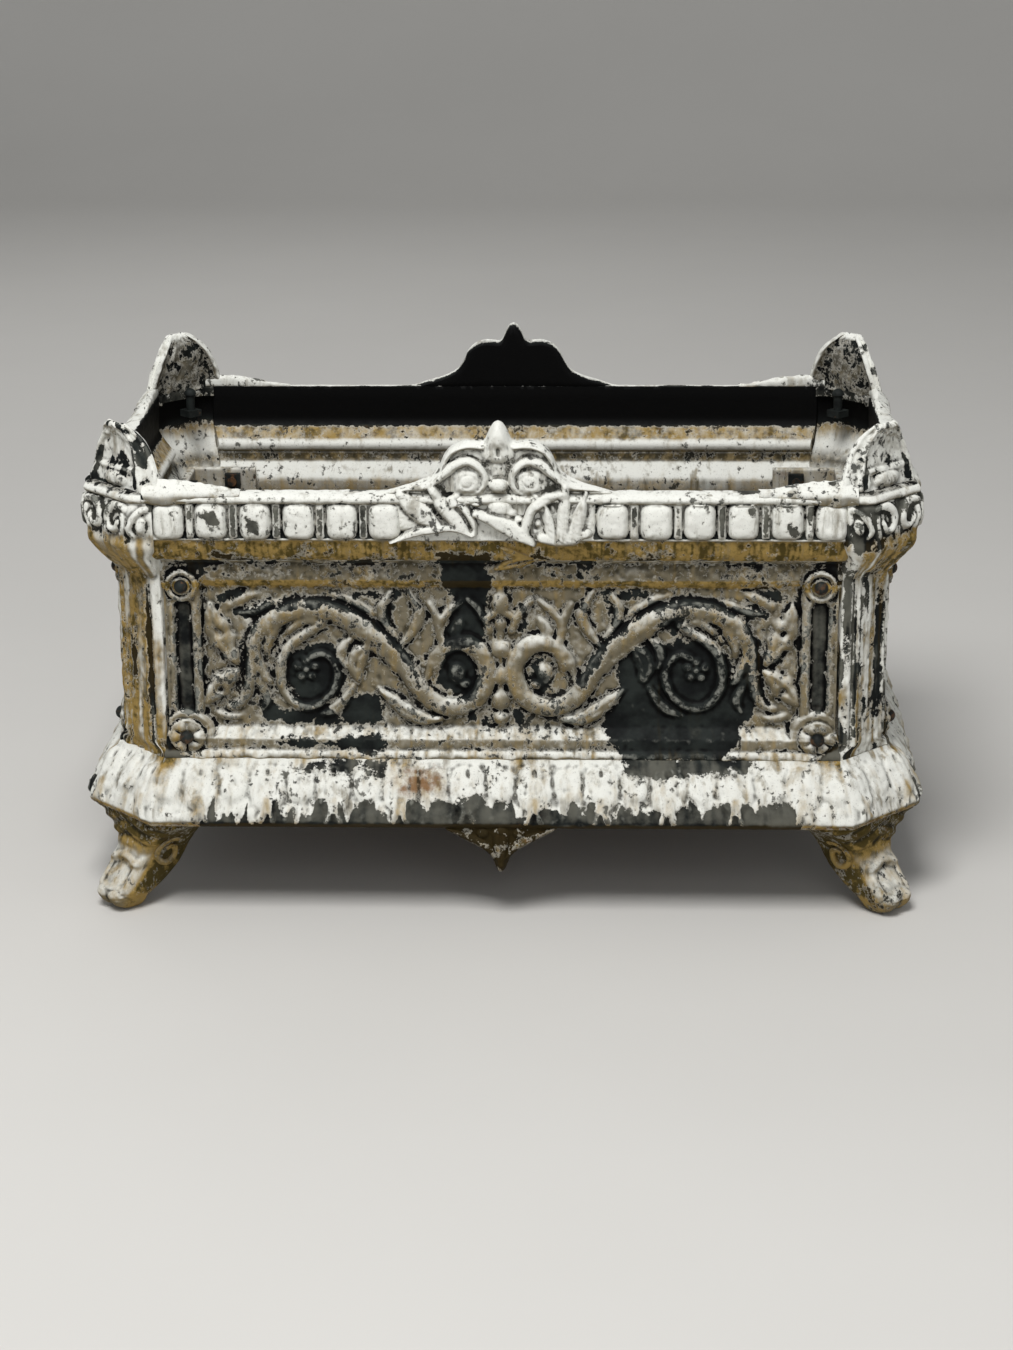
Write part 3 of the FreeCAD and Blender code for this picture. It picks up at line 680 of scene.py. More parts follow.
print("inner wall is black above %.0f mm" % (BAND_LOW + 5))

# %% [markdown]
# ## The four fields
# A field is the lower part of a side casting: sill, sunk ground with its scrolls, frame and bosses. The
# profile less the relief gives the outside, and slow noise adds the unevenness of sand casting and
# thick paint. Ends repeat the scroll, drawn together to fit.

# %% Field pieces of the panels
def panel_field(half_len, columns, carve, patches, cracks, seed):
    """Field of a panel: profile less relief for the outside, plain profile inside, and the paint marks."""
    outer, inner = FIELD_ROWS, np.vstack([walk(FIELD_IN, 3), walk(WALL_IN, 24, 0)[1:]])
    grid = loop_grid(half_len, outer, inner, columns)
    n = len(outer)
    u, depth, z = (grid[:n, :, k] for k in range(3))
    relief = Relief(np.abs(u), z)
    carve(relief)
    relief.height = soften(relief.height, 2)
    ornament = np.clip(relief.height / 9, 0, 1)
    carve_frame(relief, half_len)
    depth = boss_depth(np.abs(u), z, depth - relief.height, half_len)
    away = ease(half_len - MITRE * 40 - np.abs(u), 0, 6)
    rough = 0.2 * lumps(u.shape, seed, 3) + 0.3 * lumps(u.shape, seed + 1, 12)
    grid[:n, :, 1] = depth + away * rough
    hollow = pressed(grid[:n, :, 1], 8)
    zone = lumps(u.shape, seed + 2, 160)
    head_line = np.exp(-((z - COVE_Z + 3) / 3.0) ** 2)
    flute = flute_bare(np.abs(u), z, half_len)
    bare = np.maximum(bare_iron(u, z, patches), flute)
    fascia = ease(z, FIELD_HIGH + 6, FIELD_HIGH + 9)
    chipped = -0.42 + 0.12 * zone + 0.52 * np.clip(hollow, 0, 1)
    bare = np.maximum(bare, chipped - 0.08 * ornament + 0.12 * fascia)
    bare = np.maximum(bare, -0.8 + 0.76 * head_line + 0.16 * zone)
    for line, half in cracks:
        bare = np.maximum(bare, cracked(np.abs(u), z, line, half) + 0.08 * zone)
    under = ease(z, FIELD_HIGH - 2, FIELD_HIGH + 3) * (1 - ease(z, FIELD_HIGH + 8, FIELD_HIGH + 10))
    sill = 1 - ease(z, FIELD_LOW - 2, FIELD_LOW + 1)
    flat = ease(z, seat_z + 6, seat_z + 8.5) * (1 - ease(z, seat_z + 17.5, seat_z + 19.5))
    stain = runs(u.shape, seed + 3, 18)
    # Painted shade: the fascia under the overhanging cove gets a higher Hollow mark, which darkens it.
    marks = {"hollow": np.clip(hollow + 0.1 + 0.25 * fascia, -1, 1), "bare": bare,
             "ochre": (0.8 * under + 0.22 + 0.12 * ornament * (1 + 0.6 * zone) + 0.1 * sill - 0.1 * flat
                       + 0.1 * stain + 0.08 * zone),
             "bright": (0.04 + 0.1 * ornament + 0.1 * zone + 0.42 * sill - 0.4 * flat + 0.06 * stain
                        + 0.75 * ease(flute, 0, 0.3))}
    return grid, stacked(marks, inner[:, 1], columns)


END_MIRRORED = [[(-u, z) for u, z in outline] for outline in END_PATCHES]
# side, half length, columns, way of carving, patches, cracks, seed
FIELDS = [("front", LONG, 470, carve_long, FRONT_PATCHES, CRACKS, 11),
          ("back", LONG, 470, carve_long, BACK_PATCHES, CRACKS, 21),
          ("left", END, 250, carve_end, END_PATCHES, [], 31),
          ("right", END, 250, carve_end, END_MIRRORED, [], 41)]
for side, *values in FIELDS:
    side_casting("_panel_field", side, *panel_field(*values))

# %% [markdown]
# ## Egg band and rim
# Along the top runs a row of rounded blocks with a thin dart between each two, under a sloping rim bar.
# Copies of one egg could be placed along the rim, but here they are part of the casting, so the band is
# a repeating formula in u: the distance to the nearest egg centre. Small random offsets keep it hand made.

# %% Egg band
EGG_PITCH, EGG_HALF, EGG_TALL, EGG_OUT = 40.0, 14.2, 16.8, 9.0


def egg_band(u, z, first, half_len, seed):
    """Eggs: out * (1 - |x|^4 - |y|^4.5)^0.45 about each centre; darts: flat bars midway between eggs.

    Gives the higher of both, and the darts alone, because the paint has suffered most on them.
    """
    turn = np.round((np.abs(u) - first) / EGG_PITCH)
    last = math.floor((half_len - MITRE * BAND_D - EGG_HALF - first) / EGG_PITCH)
    slot = np.clip(turn, 0, last)
    pick = (slot + 20 * (u > 0)).astype(int)
    jitter = np.random.default_rng(seed).uniform(-1, 1, (4, 60))
    centre = first + EGG_PITCH * slot
    x = (np.abs(u) - centre - 0.8 * jitter[0][pick]) / (EGG_HALF + 0.5 * jitter[1][pick])
    middle = (BAND_LOW + BAND_HIGH) / 2
    y = (z - middle - 0.5 * jitter[2][pick]) / EGG_TALL
    egg = (EGG_OUT + 0.7 * jitter[3][pick]) * np.clip(1 - np.abs(x) ** 4 - np.abs(y) ** 4.5, 0, 1) ** 0.45
    between = np.abs(np.abs(u) - first - EGG_PITCH * (np.floor((np.abs(u) - first) / EGG_PITCH) + 0.5))
    inside = (np.abs(u) > first) & (np.abs(u) < first + EGG_PITCH * last)
    ends = ease(np.abs(z - middle), EGG_TALL + 1, EGG_TALL - 4)
    dart = 5.0 * np.clip(1 - (between / 3.4) ** 4, 0, 1) ** 0.5 * ends * inside
    return np.maximum(egg, dart), dart


print("eggs %.1f mm wide every %.0f mm" % (2 * EGG_HALF, EGG_PITCH))

# %% [markdown]
# ## Rim pieces
# Cove, egg band and sloping bar go up the outside, and the stepped wall comes down the inside. The ground
# between the eggs is darker, a dark line under the bar is painted shadow, and the cove is yellowed, so those
# places get their own marks while the shape is made.

# %% Rims
def rim_piece(half_len, columns, first, patches, seed):
    """Rim: cove, egg band and sloping bar outside, with the stepped wall of the trough inside."""
    outer, inner = RIM_ROWS, walk(RIM_IN, 3)
    grid = loop_grid(half_len, outer, inner, columns)
    n = len(outer)
    u, depth, z = (grid[:n, :, k] for k in range(3))
    eggs, darts = (soften(height, 1) for height in egg_band(u, z, first, half_len, seed))
    on_band = ease(z, BAND_LOW - 2, BAND_LOW) * (1 - ease(z, BAND_HIGH, BAND_HIGH + 2))
    away = ease(half_len - MITRE * 20 - np.abs(u), 0, 6)
    rough = 0.14 * lumps(u.shape, seed, 3) + 0.25 * lumps(u.shape, seed + 1, 14)
    grid[:n, :, 1] = depth - eggs * on_band + away * rough
    hollow = pressed(grid[:n, :, 1], 6, 1.6)
    cove = 1 - ease(z, BAND_LOW - 6, BAND_LOW)
    zone = lumps(u.shape, seed + 2, 160)
    between = on_band * ease(2.4 - eggs, 0.4, 2.0) * (np.abs(u) < half_len - 18)
    between = between * ease(np.abs(u), first - EGG_HALF - 5, first - EGG_HALF - 2)
    foot = 1 - ease(z, BAND_LOW + 2, BAND_LOW + 16)
    # Painted shadow: a dark line of bare iron just under the bar.
    under_bar = np.exp(-((z - BAND_HIGH - 0.5) / 1.6) ** 2)
    stain = runs(u.shape, seed + 3, 9)
    chipped = -0.6 + 0.2 * zone + 0.25 * np.clip(hollow, 0, 1) + 0.16 * cove
    bare = np.maximum(bare_iron(u, z, patches), chipped)
    bare = np.maximum(bare, -0.8 + (0.85 + 0.3 * foot) * between + 0.2 * zone)
    bare = np.maximum(bare, -0.85 + 0.74 * under_bar + 0.2 * zone)
    patchy = lumps(u.shape, seed + 4, 60)
    bare = np.maximum(bare, -0.75 + (0.19 + 0.06 * patchy) * darts * on_band)
    marks = {"hollow": hollow, "bare": bare,
             "ochre": (1.02 + 0.2 * stain + 0.16 * zone) * cove + 0.2 * between + 0.03 * darts * on_band,
             "bright": (1 - cove) * (1 - 0.4 * between) + 0.12 * cove * (1 + 0.5 * stain)}
    return grid, stacked(marks, inner[:, 1], columns)


RIM_PATCHES = {
    "front": [FRONT_PATCHES[6], [(-268, 351), (-262, 356), (-246, 354), (-250, 350)],
              [(30, 349), (36, 362), (44, 350)], [(-272, 396), (-262, 399), (-256, 388), (-266, 384)],
              [(-231, 392), (-222, 390), (-219, 378), (-229, 379)], [(228, 398), (233, 404), (238, 398)],
              [(264, 384), (272, 388), (277, 377), (268, 376)]],
    "back": [[(-120, 350), (-112, 360), (-70, 358), (-66, 350)], [(200, 352), (210, 362), (240, 356)]],
    "left": [[(-60, 350), (-52, 360), (-20, 356)]],
    "right": [[(30, 350), (44, 362), (70, 354)]],
}
# side, half length, columns, place of the first egg, seed
RIMS = [("front", LONG, 640, 104, 51), ("back", LONG, 640, 104, 61), ("left", END, 340, 0, 71),
        ("right", END, 340, 0, 81)]
for side, half_len, columns, first, seed in RIMS:
    side_casting("_rim", side, *rim_piece(half_len, columns, first, RIM_PATCHES[side], seed))

# %% [markdown]
# ## The crests
# In the middle of each long side a crest stands on the rim: a bud between two brows, over a pair of
# volutes, with leaves that spill down across the egg band. It is a plate with rounded edges carrying high
# relief. Its ground lies just behind the rim's own surface, so only the ornament breaks through.

# %% Crest drawing
CREST_FOOT = COVE_Z - 15
CREST_OUTLINE = [(0, 67), (4, 65), (8, 59), (11.5, 51), (15, 48), (22, 48.5), (31, 48.5), (42, 44), (49, 36),
                 (53, 27), (61, 17), (75, 10), (88, 6), (104, 1), (108, 0.5)]
VOLUTE = [(94, 418), (80, 420.5), (68, 421.5), (59, 426), (49, 434), (39, 442), (28, 445.5), (19, 441),
          (12.5, 433), (13, 424), (18, 417), (26, 413)]
VOLUTE_HALF = [2.6, 4.2, 5, 5.4, 5.6, 5.6, 5.4, 5, 4.6, 3.6, 2]
VOLUTE_TALL = [10, 12, 13, 14, 14.5, 14.5, 14, 13, 11, 9]
BROW = [(14, 459), (23, 460.5), (32, 460), (43, 455.5), (49, 448), (52, 439)]
EYE_U, EYE_Z, EYE_R = 28.5, 426.5, 12.4
SPRAYS = [
    ([(-90, 413), (-79, 404), (-67, 394), (-56, 386)], [5, 10.5, 11, 5], 14.5),
    ([(-60, 419), (-52, 405), (-41, 391), (-24, 375)], [5, 7, 7, 2], 16.5),
    ([(-44, 410), (-34, 398), (-26, 387), (-21, 376)], [4, 8.5, 7.5, 1.5], 16),
    ([(-24, 376), (-41, 383), (-58, 382), (-75, 379), (-100, 369)], [2, 4.4, 5, 4.4, 1.2], 16.5),
    ([(-21, 397), (1, 388), (17, 379), (33, 366)], [4, 9, 9.5, 1.5], 17.5),
    ([(56, 415), (44, 411), (33, 403), (27, 391), (24, 379), (32, 369)], [5, 6, 5.6, 5.2, 5, 2], 17),
    ([(43, 405), (46, 391), (49, 375)], [1.5, 5.4, 7], 15.5),
    ([(61, 423), (60, 402), (58, 375)], [4, 6.8, 8], 16.5),
    ([(80, 416), (74, 397), (67, 374)], [1.5, 7.4, 9.5], 16.5),
    ([(40, 374), (58, 372), (80, 378)], [6, 9, 5], 15.5),
]
CREST_GROUND = ([330, 344, 348, 353, 358, 364, 372, 405, 411, 416],
                [40, 40, 38, 31, 28, 25.5, 24, 24, 25.4, 24])
KNUCKLES = [(-49, 410), (-39, 412), (-29, 408), (-20, 406), (-11, 410), (13, 410), (21, 409), (11, 397),
            (18, 391), (35, 412)]
print("sprays and knuckles of a crest:", len(SPRAYS), len(KNUCKLES))

# %% [markdown]
# ## Carving the crest
# Bud, brows and volutes are alike on both hands and are drawn on |u|. The leaves below fall differently
# to the left and to the right, so they are drawn once on u itself. The higher of both maps is the
# crest.

# %% Carve a crest
def crest_ground(z):
    """Depth that lies a little behind the rim's own surface at every level, and eases out above it."""
    return np.interp(z, *CREST_GROUND)


def carve_crest(u, z):
    """Bud, brows and volutes on |u|; sprays, knuckles and drop leaves as they fall on each hand."""
    both = Relief(np.abs(u), z)
    both.stroke(VOLUTE, VOLUTE_HALF, VOLUTE_TALL, "stem")
    both.dome(EYE_U, EYE_Z, 18, 18, 9.5, 6)
    both.dome(EYE_U, EYE_Z, EYE_R, EYE_R, 13.5, 4)
    r = np.hypot(both.u - EYE_U, both.z - EYE_Z)
    turn = np.arctan2(both.z - EYE_Z, both.u - EYE_U)
    both.height = both.height - 1.7 * np.exp(-((r - 6.2 - 1.6 * turn / math.pi) / 0.9) ** 2)
    both.stroke(BROW, [4, 5, 5.6, 5.4, 5, 3.4], [12, 13.5, 14, 14, 13, 11], "stem")
    both.pit(30, 453.2, 8.5, 3.0, 7)
    both.dome(0, 454, 19, 14, 11.5, 2.2)
    both.stroke([(0, 446), (0, 455), (0, 463), (0, 470), (0, 477), (0, 483)], [11, 14, 14, 12.5, 8.5, 2.5],
                [6, 11, 15, 15.4, 13, 9])
    both.cut([(0, 457), (0, 451)], 1.5, 4)
    both.dome(0, 423, 11, 8.6, 16)
    single = Relief(u, z)
    single.dome(-62, 394, 38, 17, 9, 6)
    single.dome(58, 392, 32, 22, 10, 6)
    for points, width, height in SPRAYS:
        single.stroke(points, width, height, "band")
    single.cut([(-38, 402), (-31, 393), (-25, 382)], 1.9, 8)
    single.pit(35, 391, 5.5, 11, 7)
    single.dome(36, 387, 4, 5, 12)
    for bu, bz in KNUCKLES:
        single.dome(bu, bz, 6.2 + 0.06 * (bu % 17), 4.4 + 0.1 * (bz % 13), 12.5 + 0.1 * (bu % 11))
    single.dome(1, 402, 12.5, 9.5, 14.5, 2.6)
    single.stroke([(-4, 338), (12, 345), (24, 348), (38, 350)], [3, 9, 9, 1], [10, 14, 13, 8], "leaf", 3)
    single.stroke([(2, 362), (14, 357), (26, 354)], [2, 5, 2], 10, "leaf")
    return np.maximum(both.height, single.height)


print("crest rises %.0f mm above the rim" % CREST_OUTLINE[0][1])

# %% [markdown]
# ## Crest plates
# The plate has a front sheet with relief and a plain back sheet, which meet along the outline. Near the
# outline both are drawn together on a quarter circle, so the edge is round like cast metal. Front and
# back of the planter use the same plate.

# %% Crests
def rounded_edge(gap, radius):
    """Quarter circle: 0 at the edge, 1 from one radius inwards."""
    return np.sqrt(1 - (1 - np.clip(gap / radius, 0, 1)) ** 2)


def plate(outline, level, columns, share, radius, hangs=False):
    """Sheet between a level and a mirrored outline: z goes from the lower to the higher of both by share."""
    u = np.linspace(-outline[-1, 0], outline[-1, 0], columns)
    curve = np.interp(np.abs(u), *outline.T)
    low, high = (curve, level) if hangs else (level, curve)
    z = low + share[:, None] * (high - low)
    u = np.broadcast_to(u, z.shape)
    return u, z, rounded_edge(gap_to(np.vstack([outline[::-1] * [-1, 1], outline]), u, z), radius)


def crest_grid(columns=242, front_rows=172, back_rows=26):
    """Front sheet with the relief and plain back sheet, from the foot up to the outline and down again."""
    outline = spline([(a, rim_z + h) for a, h in CREST_OUTLINE], 160)
    share = np.concatenate([np.linspace(0, 1, front_rows), np.linspace(1, 0, back_rows + 1)[1:]])
    u, z, pillow = plate(outline, CREST_FOOT, columns, share, 6.0)
    above = ease(z, 409, 416)
    front = np.arange(len(share)) < front_rows
    carved = np.zeros(z.shape)
    carved[front] = soften(carve_crest(u[front], z[front]), 2)
    rounded = np.where(z > 412, np.maximum(pillow, 0.12), 1.0)
    body = np.maximum(7.0 * above * pillow, carved * rounded)
    back = crest_ground(z) + 1.2 + 5.0 * above * pillow
    depth = np.where(front[:, None], crest_ground(z) - body, back)
    depth[front] += 0.14 * lumps(depth[front].shape, 91, 4) * (body[front] > 1)
    return np.stack([u, depth, z], -1), front


crest, is_front = crest_grid()
hollow = np.zeros(crest.shape[:2])
hollow[is_front] = pressed(crest[is_front][..., 1], 12, 1.1)
on_back = ~is_front[:, None] * np.ones(crest.shape[1])
low_leaf = 1 - ease(crest[..., 2], BAND_LOW - 10, BAND_LOW)
crest_wear = -0.6 + 0.55 * np.clip(hollow, 0, 1) + 0.16 * lumps(hollow.shape, 95, 90)
# Painted shade: the back sheet, facing into the trough, is black bare iron with a full Hollow mark and no
# white.
crest_marks = {"hollow": np.maximum(hollow, on_back), "bare": np.where(on_back > 0, 0.9, crest_wear),
               "ochre": 0.7 * low_leaf + 0.05, "bright": (0.9 - 0.6 * low_leaf) * (1 - on_back)}
for side in ("front", "back"):
    side_casting("_crest", side, crest, crest_marks)

# %% [markdown]
# ## Corner posts
# A post turns each corner with three faces: a strip along the front, a canted face and a strip along the
# end. It is slim down the shaft and swells at the top into a console under the corner block. Each level is
# a bent strip in plan, so the post is a stack of bent strips outside and a second stack inside.

# %% Bent strips round a corner
SHAFT_D = FRAME_D + 4
BLOCK_D = RIM_D + 1
# level, depth of the front facet, bend towards the canted face from the panel corner, thickness
POST_LEVELS = [(seat_z, 34, -10, 13), (seat_z + 6, 33.5, -10, 13), (seat_z + 11, SHAFT_D, 1, 10),
               (COVE_Z - 26, SHAFT_D, 1, 10), (COVE_Z - 18, SHAFT_D - 2, 0.5, 10),
               (COVE_Z - 11, SHAFT_D - 6, 1.5, 11), (COVE_Z - 2, SHAFT_D - 13, 6, 12),
               (COVE_Z + 8, BLOCK_D + 7.5, 11, 13), (COVE_Z + 17, BLOCK_D + 3, 13, 13),
               (BAND_LOW + 4, BLOCK_D + 0.5, 11, 13), (post_z - 16, BLOCK_D - 1, 10, 13),
               (post_z - 6, BLOCK_D - 0.5, 9.5, 13), (post_z, BLOCK_D + 2.5, 7, 13)]


def corner_local(x, depth):
    """Point given from the panel corner along the front and into the planter, in the corner's own (u, d)."""
    dx, dy = x - cant / 2, depth - cant / 2
    return (dx + dy) * DIAGONAL, (dy - dx) * DIAGONAL


def corner_sheet(z, depth, bend, end, s, share):
    """Bent strips: s from -1 to 1 runs free end, bend, bend, free end, with the bends at +-share."""
    ua, da = corner_local(end, depth)
    ub, db = corner_local(bend, depth)
    t = np.abs(s)
    facet = np.clip((t - share) / (1 - share), 0, 1)
    face = np.clip(t / share, 0, 1)
    u = np.where(t < share, -ub[:, None] * face, -ub[:, None] + (ub - ua)[:, None] * facet)
    d = db[:, None] + (da - db)[:, None] * facet
    u, d = soften(u, 3, [1]), soften(d, 3, [1])
    return np.stack([u * np.sign(s), d, np.repeat(z[:, None], len(s), 1)], -1)


def push_out(grid, amount):
    """Moves a sheet outwards along its normals, the cross products of its row and column steps."""
    normal = np.cross(np.gradient(grid, axis=0), np.gradient(grid, axis=1))
    normal /= np.maximum(np.linalg.norm(normal, axis=-1, keepdims=True), 1e-9)
    sign = np.where(normal[..., 1:2] > 0, -1.0, 1.0)
    return grid + normal * sign * amount[..., None]


print("levels of a post:", len(POST_LEVELS))

# %% [markdown]
# ## Relief on the posts
# Fine beads follow both arrises of the shaft, a tongue hangs on each strip, and the block above carries
# curls. They are drawn over s, the place across the post, and z. The relief is then pushed out along
# the bent strip's normals, so it follows the corner.

# %% Post relief
POST_SHARE = 0.5
BLOCK_END = -14.0


def post_relief(s, z):
    """Beads and grooves beside the arrises of the shaft, a tongue on each strip, curls on the block."""
    t = np.abs(s)
    shaft = ease(z, seat_z + 9, seat_z + 15) * (1 - ease(z, COVE_Z - 28, COVE_Z - 16))
    strip = (t - POST_SHARE) / (1 - POST_SHARE)
    bead = 4.2 * ease(strip, 0.30, 0.42) * (1 - ease(strip, 0.9, 1.0))
    arris = 1.5 * np.exp(-((t - POST_SHARE) / 0.05) ** 2)
    raised = shaft * (bead + arris)
    low = COVE_Z - 21 + 17 * np.abs(strip - 0.45) ** 2.2 / 0.3
    tongue = 2.6 * ease(z, low, low + 5) * (strip > 0) * (1 - ease(z, BAND_LOW - 10, BAND_LOW))
    face_low = COVE_Z - 18 + 10 * (t / POST_SHARE) ** 2
    swell = 2.2 * ease(z, face_low, face_low + 6) * (t < POST_SHARE)
    swell = swell * (1 - ease(z, BAND_LOW - 8, BAND_LOW + 2))
    relief = Relief(t * 60, z)
    relief.stroke([(57, 401), (46, 398), (37, 390), (34, 381), (39, 374)], [1.5, 3.4, 3.8, 3.4, 1.5], 4.4)
    relief.dome(47, 385, 6.4, 8.5, 4.4)
    relief.stroke([(28, 400), (18, 402), (9, 398), (5, 389), (9, 380), (17, 380), (20, 387)],
                  [2, 4, 4.4, 4.2, 3.8, 3.2, 2.4], 4.6)
    relief.stroke([(26, 394), (27, 384), (24, 374)], [2.4, 3.2, 2], 3.4)
    relief.stroke([(0, 378), (0, 366), (0, 352), (0, 340)], [4, 6, 5, 1.5], 2.4, "leaf")
    return np.maximum(np.maximum(raised, tongue), np.maximum(swell, relief.height))


print("bends at %.2f of the half width" % POST_SHARE)

# %% [markdown]
# ## Skins of a post
# Each post is a shell about a finger thick, open to the inside. Outer and inner skin are bent strips
# from the same table of levels. Each post has its own scars and its own share of yellowed paint,
# because sun and rain reach the corners differently.

# %% Post skins
# place across the post from -1 at its front edge to 1, half-width, lowest and highest level of bare strips
POST_SCARS = {"front_left": [(-0.6, 0.08, 188, 292), (0.05, 0.1, 222, 264)],
              "front_right": [(-0.8, 0.12, 256, 342), (0.28, 0.14, 186, 306), (-0.56, 0.05, 180, 250)],
              "back_left": [(0.7, 0.1, 200, 280)], "back_right": [(-0.2, 0.12, 220, 300)]}


def post_grid(seed, ochre, scars):
    """Outer skin upwards with its relief, inner skin downwards; both stop at the joint with the panels."""
    table = np.array(POST_LEVELS)
    z = np.linspace(seat_z, post_z, 186)
    depth, bend, thick = (np.convolve(np.pad(np.interp(z, table[:, 0], table[:, k]), 2, "edge"),
                                      [0.1, 0.25, 0.3, 0.25, 0.1], "valid") for k in (1, 2, 3))
    s = np.linspace(-1, 1, 92)
    stop = -MITRE * depth + (BLOCK_END + MITRE * depth) * ease(z, COVE_Z + 2, COVE_Z + 12)
    outer = corner_sheet(z, depth, bend, stop, s, POST_SHARE)
    s_all, z_all = np.broadcast_to(s, outer.shape[:2]), outer[..., 2]
    away = ease(1 - np.abs(s_all), 0.0, 0.05)
    raised = soften(post_relief(s_all, z_all), 1) * away
    rough = 0.25 * lumps(raised.shape, seed, 4) + 0.3 * lumps(raised.shape, seed + 1, 12)
    outer = push_out(outer, raised + away * rough)
    outer[[0, -1], :, 2] = np.array([[seat_z], [post_z]])
    few = slice(None, None, -12)
    inner = corner_sheet(z[few], (depth + thick)[few], (bend - MITRE * thick)[few],
                         (stop - MITRE * thick)[few], s, POST_SHARE)
    t = np.abs(s_all)
    top = ease(z_all, BAND_LOW - 4, BAND_LOW + 8)
    console = ease(z_all, COVE_Z - 26, COVE_Z - 12) * (1 - top)
    flank = ease(t, POST_SHARE + 0.02, POST_SHARE + 0.08)
    groove = np.exp(-((t - POST_SHARE - 0.08) / 0.05) ** 2) * (1 - ease(z_all, COVE_Z - 34, COVE_Z - 22))
    hollow = np.clip((soften(raised, 6) - raised) / 1.1, -1, 1)
    wear = 0.26 * lumps(raised.shape, seed + 2, 60) + 0.16 * soften(runs(raised.shape, seed + 6, 20), 3)
    streak = soften(runs(raised.shape, seed + 7, 30), 6)
    streak = 0.8 * streak / streak.std() + 0.8 * lumps(raised.shape, seed + 8, 120)
    worn = -0.42 + 0.1 * top + 0.6 * np.clip(hollow, 0, 1) + wear + 0.5 * (0.6 - ochre) * (1 - top)
    for at, half, low, high in scars:
        gap = np.maximum(np.abs(s_all - at) / half, np.abs(2 * z_all - low - high) / (high - low))
        worn = np.maximum(worn, 0.65 * (1 - gap))
    yellowed = 0.75 * console + ochre * (1 - top) * (1 - console)
    marks = {"hollow": hollow, "bare": np.maximum(worn, -0.7 + 0.95 * groove + 0.15 * streak),
             "ochre": yellowed * (1 - 0.4 * flank) + 0.3 * streak * (1 - top),
             "bright": 0.9 * top + (1 - top) * (0.7 - 0.6 * ochre + 0.3 * flank - 0.4 * streak)}
    return np.concatenate([outer, inner]), stacked(marks, inner[:, 0, 2], len(s))


print("scars on all posts:", sum(len(scars) for scars in POST_SCARS.values()))

# %% [markdown]
# ## Flanges and finished posts
# Behind the panels each post has two flat flanges that take the bolts. A closed section is sampled,
# eased to round its corners, and carried along. Nothing in front shows them, but they are seen from
# above.

# %% Flanges and posts
def eased_ring(ring):
    """Two rounds of 1-2-1 averaging along rows that close on themselves."""
    for _ in range(2):
        ring = (np.roll(ring, 1, 0) + 2 * ring + np.roll(ring, -1, 0)) / 4
    return ring


def rounded_bar(corners, along):
    """Bar with a rounded closed section: the corners are joined, sampled and eased, then carried along."""
    c = np.asarray(corners, float)
    ring = eased_ring(walk(np.vstack([c, c[:1]]), 1.6, 0)[:-1])
    a = np.asarray(along, float)
    return np.stack([np.broadcast_to(a, (len(ring), len(a))), np.repeat(ring[:, :1], len(a), 1),
                     np.repeat(ring[:, 1:], len(a), 1)], -1)


def side_sign(side, corner):
    """Which way u runs towards the named corner on a side: +1 or -1."""
    front_back, left_right = corner.split("_")
    if side in ("front", "back"):
        return 1 if (side == "front") == (left_right == "right") else -1
    return 1 if (side == "right") == (front_back == "back") else -1


FLANGE_FRONT, FLANGE_BACK, FLANGE_PAST = 55.0, 63.0, 13.0
FLANGE_MARKS = {"bare": -0.35, "rust": 0.15, "bright": 0.45, "hollow": 0.2, "ochre": 0.35}


def flanges(corner):
    """Both bolt flanges of a post, behind the panels, as flat rounded bars in the sides' own coordinates."""
    low, high = BOLT_LOW - FLANGE_PAST, BOLT_HIGH + FLANGE_PAST
    section = [(FLANGE_FRONT, low), (FLANGE_BACK, low), (FLANGE_BACK, high), (FLANGE_FRONT, high)]
    shells = []
    for side, half_len in zip(corner.split("_"), (LONG, END)):
        bar = rounded_bar(section, np.linspace(half_len - STILE - 8, half_len + 8, 24))
        bar[..., 0] *= side_sign(side, corner)
        shells.append(shell(to_side(bar, side), FLANGE_MARKS))
    return shells


CORNERS = ("front_left", "front_right", "back_left", "back_right")
POST_OCHRE = (0.62, 0.22, 0.5, 0.45)
for k, corner in enumerate(CORNERS):
    grid, marks = post_grid(101 + 3 * k, POST_OCHRE[k], POST_SCARS[corner])
    parts = [shell(to_corner(grid, corner), marks)] + flanges(corner)
    casting(corner + "_post_casting", parts, [corner + "_post"])

# %% [markdown]
# ## Corner ears
# An ear is a hood: a narrow facet along the front, a wide shield across the corner and another facet along
# the end, all leaning in to a rounded tip. The bent strips of the posts serve again, with the two skins
# drawn together at the free edge so that the lip is round.

# %% Ear hood
# height above the rim, depth of the front facet, bend and free end from the panel corner, thickness
EAR_LEVELS = [(-2, 17.5, -3, -21, 9), (6, 19.5, -2.6, -20.8, 9), (14, 21.5, -2, -19.8, 9),
              (22, 23.8, -1, -18, 9), (30, 26.4, 0.5, -15.2, 9), (38, 29.2, 2.8, -11.5, 8.8),
              (45, 32, 6, -6.5, 8.4), (50.5, 34.2, 9.4, -1, 8), (55, 36.4, 13, 5, 7.4),
              (58, 38.2, 16, 10, 7), (59.4, 39.4, 17.6, 13, 6.6)]
EAR_SHARE = 0.62


